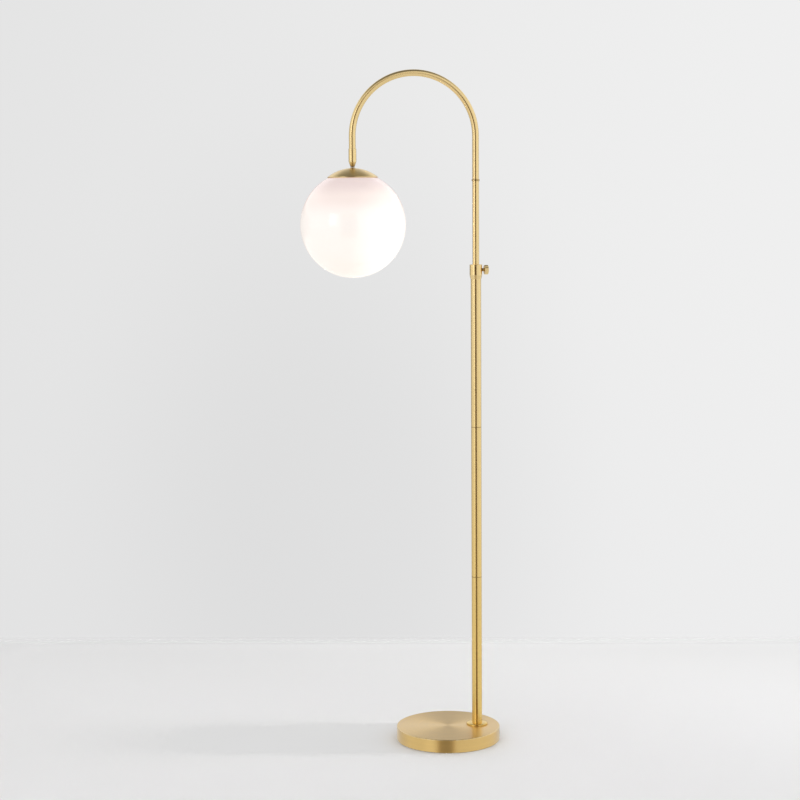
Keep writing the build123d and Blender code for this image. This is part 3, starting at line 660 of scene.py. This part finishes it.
def makeFloor():
    bpy.ops.mesh.primitive_circle_add(vertices=96, radius=studio["floorFade"][1] + 0.1, fill_type="NGON")
    floor = bpy.context.object
    floor.name = "studioFloor"
    material, tree, shader, coords = startMaterial("studioFloor")
    shader.inputs["Roughness"].default_value = 0.85
    shader.inputs["Specular IOR Level"].default_value = 0.2
    here = coords["Object"]
    speckle = noiseAt(tree, here, 5.0, 2.0)
    mottled = tuple(studio["floorMottle"] * c for c in studio["floor"])
    tone = mixColour(tree, speckle, mottled, studio["floor"])
    # painted light on the floor, lighter towards the right and back
    reach = vectorCalc(tree, "DOT_PRODUCT", here, (1.0, 0.8, 0.0))
    tone = mixColour(tree, smoothRange(tree, reach, *studio["farReach"]), tone, studio["litFarFloor"])
    tree.links.new(tone, shader.inputs["Base Color"])
    turn = math.radians(studio["backTurn"])
    far = vectorCalc(tree, "LENGTH", here)
    behind = vectorCalc(tree, "DOT_PRODUCT", here, (math.sin(turn), math.cos(turn), 0))
    ends = calc(tree, "MULTIPLY", smoothRange(tree, far, *studio["floorFade"], 1.0, 0.0),
                smoothRange(tree, behind, *studio["floorBack"], 1.0, 0.0))
    under = addNode(tree, "NewGeometry").outputs["Backfacing"]     # seen through from below
    ends = calc(tree, "MULTIPLY", ends, calc(tree, "SUBTRACT", 1.0, under))
    tree.links.new(ends, shader.inputs["Alpha"])
    floor.data.materials.append(material)
    floor.visible_glossy = False


def addSoftLight(name, place, aim, size, watts, colour=(1, 1, 1), glossy=True, spread=180.0):
    data = bpy.data.lights.new(name, "AREA")
    data.shape, data.size, data.size_y = "RECTANGLE", size[0], size[1]
    data.energy, data.color = watts, colour
    data.spread = math.radians(spread)
    light = bpy.data.objects.new(name, data)
    light.location = place
    light.rotation_mode = "QUATERNION"
    light.rotation_quaternion = (Vector(aim) - Vector(place)).to_track_quat("-Z", "Y")
    light.visible_camera = False
    light.visible_glossy = glossy
    bpy.context.scene.collection.objects.link(light)


makeWorld()
makeFloor()
addSoftLight("lowKey", place=(9.0, -1.56, 0.42), aim=(0.0, 0.0, 0.0), size=(1.4, 0.35), watts=26.0,
             colour=(1.0, 0.99, 0.98), glossy=False, spread=20.0)
addSoftLight("sideFill", place=(-4.6, -3.4, 2.4), aim=(0.0, 0.0, 0.9), size=(1.8, 2.4), watts=20.0,
             colour=(0.97, 0.985, 1.0))
addSoftLight("overhead", place=(0.4, 0.6, 4.6), aim=(0.0, 0.0, 0.0), size=(2.6, 2.6), watts=24.0,
             glossy=False)
bpy.context.scene.view_settings.view_transform = "Standard"
print("studio set")

# ---- base
baseSizes = {
    "wall": 0.0012, "edge": 0.0015, "foot": 0.0005, "feltEdge": 0.0008, "segments": 192,
    "inletHole": 0.00505, "nippleHole": 0.0083, "drillPast": 0.004,
}


def makeBase():
    low, high = baseLow.z, baseHigh.z
    outside = baseHigh.x
    inside = outside - baseSizes["wall"]
    under = high - baseSizes["wall"]
    corners = [
        (0.0, high, 0), (outside, high, baseSizes["edge"]), (outside, low, baseSizes["foot"]),
        (inside, low, 0.0002), (inside, under, 0.0004), (0.0, under, 0),
    ]
    outline = roundedOutline(corners, 6, 0.0012)
    # a few rings over the top keep the flat even
    top = [(outside * share, high, 0.0) for share in (0.25, 0.5, 0.75, 0.95)]
    outline = outline[:1] + top + outline[1:]
    cover = lathe("baseCover", outline, segments=baseSizes["segments"])
    past = baseSizes["drillPast"]
    hole = baseSizes["inletHole"]
    turn = Matrix.Rotation(math.pi / 2, 4, "Y")
    place = Matrix.Translation((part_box("cord_grommet")[0].x + past, 0.0, middle("cord_grommet").z)) @ turn
    drill = lathe("inletDrill", [(0.0, -0.02, 0), (hole, -0.02, 0), (hole, 0.02, 0), (0.0, 0.02, 0)],
                  segments=48, place=place)
    cutWith(cover, drill)
    hole = baseSizes["nippleHole"]
    drill = lathe("poleDrill", [(0.0, under - past, 0), (hole, under - past, 0), (hole, high + past, 0),
                                (0.0, high + past, 0)], (poleX, 0.0), 48)
    cutWith(cover, drill)
    finishPiece(cover, spunBrass, "stand", "brass", "base_cover", angle=40.0)
    feltLow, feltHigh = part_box("base_felt")
    felt = lathe("baseFelt", roundedOutline([
        (0.0, feltHigh.z, 0), (feltHigh.x, feltHigh.z, 0.0004),
        (feltHigh.x, feltLow.z, baseSizes["feltEdge"]), (0.0, feltLow.z, 0)]), segments=128)
    finishPiece(felt, pressedFelt, "stand", "felt", "base_felt")


makeBase()

inletSizes = {"bore": 0.0033, "barrel": 0.005, "flange": 0.006, "taper": 0.0005}


def makeGrommet():
    low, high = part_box("cord_grommet")
    inlet = middle("cord_grommet")
    wall = baseHigh.x
    skin = wall - baseSizes["wall"]
    turn = Matrix.Translation((0.0, 0.0, inlet.z)) @ Matrix.Rotation(math.pi / 2, 4, "Y")
    bore, barrel, flange = inletSizes["bore"], inletSizes["barrel"], inletSizes["flange"]
    corners = [
        (bore, low.x, 0.0003), (barrel - inletSizes["taper"], low.x, 0.0003), (barrel, (low.x + skin) / 2, 0),
        (flange, skin - 0.0003, 0.0003), (barrel, skin - 0.0003, 0), (barrel, wall, 0),
        (flange, wall, 0.0004), (barrel - inletSizes["taper"], high.x, 0.0008), (bore, high.x, 0.0006),
    ]
    piece = lathe("cordGrommet", roundedOutline(corners, 5, 0.0003), segments=64, place=turn)
    finishPiece(piece, blackRubber, "stand", "rubber", "cord_grommet")


makeGrommet()
print("base made")

# ---- pole
poleSizes = {"wall": 0.0012, "seam": 0.0003, "segments": 96, "flangeLip": 0.0015, "flangeFoot": 0.003}
poleNodes = {"poleLower": "lower_pole", "poleMiddle": "middle_pole", "poleUpper": "upper_pole"}


def makeFlange():
    low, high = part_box("pole_flange")
    bore = poleRadius + slip
    outer = (high.x - low.x) / 2
    crown = bore + poleSizes["flangeLip"]
    foot = low.z + poleSizes["flangeFoot"]
    shoulder = []
    for n in range(17):
        turn = math.radians(90 * n / 16)
        across, up = (outer - crown) * math.cos(turn), (high.z - foot) * math.sin(turn)
        shoulder.append((crown + across, foot + up, 0.0))
    lowerEdge = roundedOutline([(bore, low.z, 0), (outer, low.z, 0.0004), (outer, foot, 0)], 4, 0.0003)
    outline = lowerEdge[:-1] + shoulder + [(bore, high.z, 0.0)]
    piece = lathe("poleFlange", outline, (poleX, 0.0), 128)
    finishPiece(piece, turnedBrass, "stand", "brass", "pole_flange")


def makePoleSections():
    for name, node in poleNodes.items():
        low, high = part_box(node)
        outer, inner = poleRadius, poleRadius - poleSizes["wall"]
        seam = poleSizes["seam"]
        corners = [(inner, low.z, 0), (outer, low.z, seam), (outer, high.z, seam), (inner, high.z, 0)]
        outline = roundedOutline(corners, 4, 0.0008)
        # painted shade darkens the seams at both ends of each section
        outline = shadeBand(shadeBand(outline, low.z, low.z + seam, 0.7), high.z - seam, high.z, 0.7)
        piece = lathe(name, outline, (poleX, 0.0), poleSizes["segments"])
        finishPiece(piece, tubeBrass, "stand", "brass", node)


makeFlange()
makePoleSections()
print("pole made")

# ---- collar and clamp
collarSizes = {
    "taper": 0.0095, "lip": 0.0015, "edge": 0.0008, "lead": 0.0005, "screwHole": 0.00305,
    "stemGap": 0.0003, "seat": 0.0005, "drill": (0.002, 0.03),
}


def makeCollar():
    low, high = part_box("height_collar")
    outer = (high.x - low.x) / 2
    bore = poleRadius + slip
    stemBore = stemRadius + collarSizes["stemGap"]
    inside = poleRadius - collarSizes["seat"]
    lip = high.z - collarSizes["lip"]
    corners = [
        (bore, low.z, 0.0001), (bore + collarSizes["lead"], low.z, 0.0001),
        (outer, low.z + collarSizes["taper"], 0.003), (outer, high.z, collarSizes["edge"]),
        (stemBore, high.z, 0.0003), (stemBore, lip, 0), (inside, lip, 0), (inside, poleTop, 0),
        (bore, poleTop, 0),
    ]
    collar = lathe("heightCollar", roundedOutline(corners, 5, 0.0004), (poleX, 0.0), 96)
    screw = middle("clamp_pad")
    turn = Matrix.Translation((poleX, 0.0, screw.z)) @ Matrix.Rotation(math.pi / 2, 4, "Y")
    hole, (start, end) = collarSizes["screwHole"], collarSizes["drill"]
    drill = lathe("screwDrill", [(0, start, 0), (hole, start, 0), (hole, end, 0), (0, end, 0)],
                  segments=40, place=turn)
    cutWith(collar, drill)
    finishPiece(collar, turnedBrass, "stand", "brass", "height_collar")


makeCollar()

knobSizes = {
    "gap": 0.0006, "screw": 0.003, "neck": 0.0039, "neckLength": 0.0024, "flareLength": 0.0026,
    "flare": 0.008, "dish": 0.0075, "dishDepth": 0.0008, "edge": 0.0009, "lobes": 10, "lobeDepth": 0.0011,
    "pin": 0.0012, "pinLength": 0.0012,
}


def startShape(name, inputs):
    # an empty shape tree with these inputs, which gives back one shape
    tree = bpy.data.node_groups.new(name, "GeometryNodeTree")
    for label, kind in inputs.items():
        tree.interface.new_socket(label, in_out="INPUT", socket_type="NodeSocket" + kind)
    tree.interface.new_socket("Geometry", in_out="OUTPUT", socket_type="NodeSocketGeometry")
    return tree, tree.nodes.new("NodeGroupInput").outputs, tree.nodes.new("NodeGroupOutput").inputs


def endShape(tree, shape, material, leave):
    whole = addNode(tree, "GeometryNodeRealizeInstances", {0: shape}).outputs[0]
    finish = addNode(tree, "GeometryNodeSetMaterial", {"Geometry": whole, "Material": material})
    tree.links.new(finish.outputs[0], leave[0])


def makeRadialWave():
    # pulls the marked points of a turned head in between its lobes
    tree, entry, leave = startShape("radialWave", {
        "Geometry": "Geometry", "Lobes": "Int", "Depth": "Float", "Brass": "Material"})
    parts = splitVector(tree, addNode(tree, "GeometryNodeInputPosition").outputs[0])
    angle = calc(tree, "ARCTAN2", parts[1], parts[0])
    wave = calc(tree, "COSINE", calc(tree, "MULTIPLY", angle, entry["Lobes"]))
    valley = calc(tree, "POWER", calc(tree, "MULTIPLY_ADD", wave, -0.5, 0.5), 1.7)
    mark = addNode(tree, "GeometryNodeInputNamedAttribute", {"Name": "fluted"}, data_type="FLOAT").outputs[0]
    pull = calc(tree, "MULTIPLY", calc(tree, "MULTIPLY", valley, entry["Depth"]), mark)
    unit = vectorCalc(tree, "NORMALIZE", addNode(tree, "CombineXYZ", {0: parts[0], 1: parts[1]}).outputs[0])
    inputs = {0: unit, "Scale": calc(tree, "MULTIPLY", pull, -1.0)}
    inward = addNode(tree, "VectorMath", inputs, operation="SCALE").outputs[0]
    move = addNode(tree, "GeometryNodeSetPosition", {"Geometry": entry["Geometry"], "Offset": inward})
    endShape(tree, move.outputs[0], entry["Brass"], leave)
    return tree


def setInputs(modifier, **values):
    for item in modifier.node_group.interface.items_tree:
        if item.item_type == "SOCKET" and item.in_out == "INPUT" and item.name in values:
            modifier[item.identifier] = values[item.name]


radialWave = makeRadialWave()


def makeKnob():
    low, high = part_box("clamp_knob")
    screw = middle("clamp_pad")
    start, end = low.x - poleX, high.x - poleX
    outer = (high.z - low.z) / 2
    neckStart = (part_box("height_collar")[1].x - poleX) + knobSizes["gap"]
    neckEnd = neckStart + knobSizes["neckLength"]
    headStart = neckEnd + knobSizes["flareLength"]
    neck, flare, edge = knobSizes["neck"], knobSizes["flare"], knobSizes["edge"]
    pinEnd = start + knobSizes["pinLength"]
    outline = [(0.0, start, 0.0)]
    outline += roundedOutline([
        (knobSizes["pin"], start, 0.0002), (knobSizes["pin"], pinEnd, 0),
        (knobSizes["screw"], pinEnd, 0.0003), (knobSizes["screw"], neckStart, 0),
        (neck, neckStart, 0.0005), (neck, neckEnd, 0)], 3, 0.0001)
    for n in range(1, 9):          # trumpet flare
        share = n / 8
        outline.append((neck + (flare - neck) * (1 - math.sqrt(max(1 - share * share, 0.0))),
                        neckEnd + (headStart - neckEnd) * share, 0.0))
    rim = roundedOutline([
        (flare, headStart, 0), (outer, headStart, edge), (outer, end, edge), (knobSizes["dish"], end, 0.0005),
        (knobSizes["dish"] - knobSizes["dishDepth"], end - knobSizes["dishDepth"], 0.0004),
        (0.0, end - knobSizes["dishDepth"], 0)], 5, 0.0004)
    outline += rim[1:]
    # painted shade on the knob's neck and flare, between collar and head
    outline = shadeBand(outline, start, neckEnd, 0.85)
    outline = shadeBand(outline, neckEnd + 0.0002, headStart - 0.0004, 0.5)
    knob = lathe("clampKnob", outline, segments=200)
    fluted = knob.data.attributes.new("fluted", "FLOAT", "POINT")
    inner = knobSizes["dish"] + 0.0004
    for vert in knob.data.vertices:
        radius = math.hypot(vert.co.x, vert.co.y)
        share = min(max((radius - inner) / (outer - edge - inner), 0.0), 1.0)
        onHead = vert.co.z > headStart - 1e-6
        fluted.data[vert.index].value = share * share * (3 - 2 * share) if onHead else 0.0
    waves = knob.modifiers.new("lobes", "NODES")
    waves.node_group = radialWave
    setInputs(waves, Lobes=knobSizes["lobes"], Depth=knobSizes["lobeDepth"], Brass=turnedBrass)
    plainMesh(knob)
    knob.data.transform(Matrix.Translation((poleX, 0.0, screw.z)) @ Matrix.Rotation(math.pi / 2, 4, "Y"))
    finishPiece(knob, turnedBrass, "knob", "brass", "clamp_knob", angle=38.0)


makeKnob()
print("collar and clamp made")

# ---- stem, ring and arch
armSizes = {
    "wall": 0.0012, "ringEdge": 0.0006, "tubeSteps": 190, "tubeSides": 64, "spigot": 0.016,
    "couplerBore": 0.0026, "couplerThread": 0.005,
}


def makeStem():
    corners = [
        (stemRadius - armSizes["wall"], stemLow.z, 0), (stemRadius, stemLow.z, 0.0003),
        (stemRadius, stemHigh.z, 0.0003), (stemRadius - armSizes["wall"], stemHigh.z, 0),
    ]
    piece = lathe("stemTube", roundedOutline(corners, 3, 0.0006), (poleX, 0.0), 72)
    finishPiece(piece, tubeBrass, "arm", "brass", "stem_tube")
    low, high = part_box("arm_coupler")
    ringLow, ringHigh = stemHigh.z, archLow.z
    ring = (high.x - low.x) / 2
    bore, thread, edge = armSizes["couplerBore"], armSizes["couplerThread"], armSizes["ringEdge"]
    inner = stemRadius - armSizes["wall"] - slip
    corners = [
        (bore, low.z, 0), (thread, low.z, 0.0003), (thread, ringLow, 0), (ring, ringLow, edge),
        (ring, ringHigh, edge), (inner, ringHigh, 0), (inner, high.z, 0.0003), (bore, high.z, 0),
    ]
    # painted shade over the ring between stem and arch
    outline = shadeBand(roundedOutline(corners, 5, 0.0004), ringLow - 0.0001, ringHigh + 0.0001, 0.5)
    piece = lathe("armRing", outline, (poleX, 0.0), 80)
    finishPiece(piece, turnedBrass, "arm", "brass", "arm_coupler")


def makeBentTube():
    # a straight leg, a half circle and a short straight end, as one curve with a round section
    tree, entry, leave = startShape("bentTube", {
        "Leg": "Float", "Bend Radius": "Float", "End": "Float", "Tube Radius": "Float",
        "Steps": "Int", "Sides": "Int", "Foot": "Vector", "Brass": "Material"})
    leg, radius = entry["Leg"], entry["Bend Radius"]
    bend = calc(tree, "MULTIPLY", radius, math.pi)
    total = calc(tree, "ADD", calc(tree, "ADD", leg, bend), entry["End"])
    top = addNode(tree, "CombineXYZ", {2: total}).outputs[0]
    line = addNode(tree, "GeometryNodeCurvePrimitiveLine", {"End": top}).outputs[0]
    steps = addNode(tree, "GeometryNodeResampleCurve", {"Curve": line, "Count": entry["Steps"]}).outputs[0]
    run = addNode(tree, "GeometryNodeSplineParameter").outputs["Length"]
    turn = calc(tree, "DIVIDE", calc(tree, "SUBTRACT", run, leg), radius)
    turn = calc(tree, "MINIMUM", calc(tree, "MAXIMUM", turn, 0.0), math.pi)
    across = calc(tree, "MULTIPLY", calc(tree, "SUBTRACT", calc(tree, "COSINE", turn), 1.0), radius)
    rise = calc(tree, "MULTIPLY", calc(tree, "SINE", turn), radius)
    up = calc(tree, "ADD", calc(tree, "MINIMUM", run, leg), rise)
    past = calc(tree, "MAXIMUM", calc(tree, "SUBTRACT", calc(tree, "SUBTRACT", run, leg), bend), 0.0)
    where = addNode(tree, "CombineXYZ", {0: across, 2: calc(tree, "SUBTRACT", up, past)}).outputs[0]
    placed = vectorCalc(tree, "ADD", where, entry["Foot"])
    shape = addNode(tree, "GeometryNodeSetPosition", {"Geometry": steps, "Position": placed}).outputs[0]
    section = addNode(tree, "GeometryNodeCurvePrimitiveCircle", {
        "Resolution": entry["Sides"], "Radius": entry["Tube Radius"]}).outputs[0]
    tube = addNode(tree, "GeometryNodeCurveToMesh", {"Curve": shape, "Profile Curve": section}).outputs[0]
    endShape(tree, tube, entry["Brass"], leave)
    return tree


def markTube(mesh, foot, leg, bend):
    # surface coordinates of the bent tube: metres along it, share of a turn round it
    spring, middleX = foot.z + leg, foot.x - bend
    uvs = mesh.uv_layers.new(name="surface")
    places = []
    for vert in mesh.vertices:
        x, y, z = vert.co
        if z > spring:
            turn = math.atan2(z - spring, x - middleX)
            run, offset = leg + bend * turn, math.hypot(z - spring, x - middleX) - bend
        elif x > middleX:
            run, offset = z - foot.z, x - foot.x
        else:
            run, offset = leg + bend * math.pi + spring - z, foot.x - 2 * bend - x
        places.append((run, math.atan2(y, offset) / (2 * math.pi) + 0.5))
    for face in mesh.polygons:
        first = places[mesh.loops[face.loop_start].vertex_index][1]
        for n in face.loop_indices:
            run, turn = places[mesh.loops[n].vertex_index]
            turn += 1 if turn - first < -0.5 else -1 if turn - first > 0.5 else 0
            uvs.data[n].uv = (run, turn)


def makeArch():
    bend = (archHigh.x - archLow.x) / 2 - stemRadius
    foot = Vector((poleX, 0.0, archLow.z))
    leg = archHigh.z - stemRadius - bend - archLow.z
    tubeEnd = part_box("arch_insert")[1].z - armSizes["spigot"]
    mesh = bpy.data.meshes.new("archTube")
    arch = bpy.data.objects.new("archTube", mesh)
    bpy.context.scene.collection.objects.link(arch)
    tube = arch.modifiers.new("bentTube", "NODES")
    tube.node_group = makeBentTube()
    setInputs(tube, **{
        "Leg": leg, "Bend Radius": bend, "End": foot.z + leg - tubeEnd, "Tube Radius": stemRadius,
        "Steps": armSizes["tubeSteps"], "Sides": armSizes["tubeSides"], "Foot": foot, "Brass": tubeBrass,
    })
    plainMesh(arch)
    build = bmesh.new()
    build.from_mesh(arch.data)
    front = max(build.faces, key=lambda face: face.calc_center_median().y)
    if front.normal.y < 0:
        bmesh.ops.reverse_faces(build, faces=build.faces)
    build.to_mesh(arch.data)
    build.free()
    markTube(arch.data, foot, leg, bend)
    wall = arch.modifiers.new("wall", "SOLIDIFY")
    wall.thickness, wall.offset = armSizes["wall"], -1.0
    plainMesh(arch)
    finishPiece(arch, tubeBrass, "arm", "brass", "arch_tube")


makeStem()
makeArch()

# ---- ferrule, neck and cap
headSizes = {
    "ferruleStraight": 0.031, "ferruleEnd": 0.0048, "ferruleLedge": 0.0095, "ferruleEdge": 0.0006,
    "cavity": 0.0056, "threadBore": 0.00655, "insertLow": 0.010, "neck": 0.0034, "neckBore": 0.0025,
    "neckHead": 0.0053, "nutEdge": 0.0004, "capWall": 0.001, "capLip": 0.0018, "capEdge": 0.0005,
}


def makeFerrule():
    low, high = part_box("ferrule")
    outer = (high.x - low.x) / 2
    bore, tube = headSizes["neck"] + slip, stemRadius + slip
    thread, cavity = headSizes["threadBore"], headSizes["cavity"]
    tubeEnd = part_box("arch_insert")[1].z - armSizes["spigot"]
    ledge = low.z + headSizes["ferruleLedge"]
    insertLow = tubeEnd - headSizes["insertLow"]
    corners = [
        (bore, low.z, 0.0002), (headSizes["ferruleEnd"], low.z, 0.0005),
        (outer, high.z - headSizes["ferruleStraight"], 0.0025), (outer, high.z, headSizes["ferruleEdge"]),
        (tube, high.z, 0.0002), (tube, tubeEnd, 0), (thread, tubeEnd, 0), (thread, insertLow, 0),
        (cavity, insertLow, 0), (cavity, ledge, 0), (bore, ledge, 0),
    ]
    # painted shade at the ferrule's narrow lower end
    outline = shadeBand(roundedOutline(corners, 5, 0.0004), low.z, low.z + 0.0012, 0.8)
    piece = lathe("ferrule", outline, (globeX, 0.0), 72)
    finishPiece(piece, turnedBrass, "arm", "brass", "ferrule")


def makeNeck():
    low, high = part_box("neck_stem")
    neck, bore, head = headSizes["neck"], headSizes["neckBore"], headSizes["neckHead"]
    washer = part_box("thrust_washer")[1].z + slip
    corners = [(bore, low.z, 0), (neck, low.z, 0.0003), (neck, washer, 0), (head, washer, 0.0003),
               (head, high.z, 0.0003), (bore, high.z, 0)]
    piece = lathe("neckStem", roundedOutline(corners, 3, 0.0003), (globeX, 0.0), 48)
    finishPiece(piece, zincSteel, "shade", "steel", "neck_stem")
    low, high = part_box("neck_nut")
    outer = (high.x - low.x) / 2
    corners = [(neck + slip, low.z, 0), (outer, low.z, 0.0002), (outer, high.z, headSizes["nutEdge"]),
               (neck + slip, high.z, 0.0002)]
    # painted shade over the nut under the cap
    outline = shadeBand(roundedOutline(corners, 4, 0.0002), low.z, high.z, 0.6)
    piece = lathe("neckNut", outline, (globeX, 0.0), 64)
    finishPiece(piece, turnedBrass, "shade", "brass", "neck_nut")


def makeCap():
    low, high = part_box("shade_cap")
    outer = (high.x - low.x) / 2
    lipTop = low.z + headSizes["capLip"]
    rise = high.z - lipTop
    dome = (outer ** 2 + rise ** 2) / (2 * rise)
    centre = high.z - dome
    wall, bore = headSizes["capWall"], headSizes["neck"] + slip
    start = math.degrees(math.acos(bore / dome))
    end = math.degrees(math.asin((lipTop - centre) / dome))
    over = arcPoints((0.0, centre), dome, start, end, 40)
    innerStart = math.degrees(math.acos(bore / (dome - wall)))
    innerEnd = math.degrees(math.acos((outer - wall) / (dome - wall)))
    under = arcPoints((0.0, centre), dome - wall, innerEnd, innerStart, 36)
    lip = roundedOutline([(outer, lipTop, 0), (outer, low.z, headSizes["capEdge"]),
                          (outer - wall, low.z, 0.0003), (outer - wall, lipTop, 0)], 4, 0.0002)
    outline = over[:-1] + [(outer, lipTop, 0.7)] + lip[1:-1] + under
    piece = lathe("shadeCap", outline, (globeX, 0.0), 144)
    finishPiece(piece, capBrass, "shade", "brass", "shade_cap")


makeFerrule()
makeNeck()
makeCap()
print("arm, neck and cap made")

# ---- globe
globeSizes = {"wall": 0.003, "mouth": 0.042, "rings": 72, "segments": 160}


def makeGlobe():
    radius, wall = globeRadius, globeSizes["wall"]
    hole = globeSizes["mouth"]
    top = math.degrees(math.acos(hole / radius))
    innerTop = math.degrees(math.acos(hole / (radius - wall)))
    outside = arcPoints((0.0, globeZ), radius, -90, top - 0.7, globeSizes["rings"])
    inside = arcPoints((0.0, globeZ), radius - wall, innerTop - 0.7, -90, globeSizes["rings"])
    outside[0] = (0.0, globeZ - radius, 0.0)
    inside[-1] = (0.0, globeZ - radius + wall, 0.0)
    ends = (Vector(outside[-1][:2]), Vector(inside[0][:2]))
    lip = []
    for n in range(1, 6):          # fire-polished mouth
        turn = math.pi * n / 6
        centre, half = (ends[0] + ends[1]) / 2, (ends[0] - ends[1]) / 2
        out = Vector((-half.y, half.x))
        point = centre + half * math.cos(turn) + out * math.sin(turn) * 0.6
        lip.append((point.x, min(point.y, globeHigh.z), 0.0))
    piece = lathe("opalGlobe", outside + lip + inside, (globeX, 0.0), globeSizes["segments"])
    finishPiece(piece, opalGlass, "shade", "opal_glass", "globe", angle=60.0)


makeGlobe()
print("globe made")

# ---- everything that stays as it came from the frame
finishOf = {
    "base_weight": castIron, "cord_clip": milkyNylon, "guide_bush": milkyNylon, "clamp_pad": milkyNylon,
    "stem_spreader": milkyNylon, "thrust_washer": milkyNylon, "holder_cap": creamPlastic,
    "holder_body": creamPlastic, "holder_core": whiteSteatite, "screw_shell": contactBrass,
    "centre_contact": contactBrass, "bulb_base": contactBrass, "bulb_envelope": bulbGlass,
    "stand_lead": leadSheath, "slack_lead": leadSheath, "arm_lead": leadSheath, "holder_lead": leadSheath,
}
for nodeName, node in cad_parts.items():
    if not node.hide_render:
        material = finishOf.get(nodeName, zincSteel)
        node.data.materials.clear()
        node.data.materials.append(material)
print("inner pieces finished")
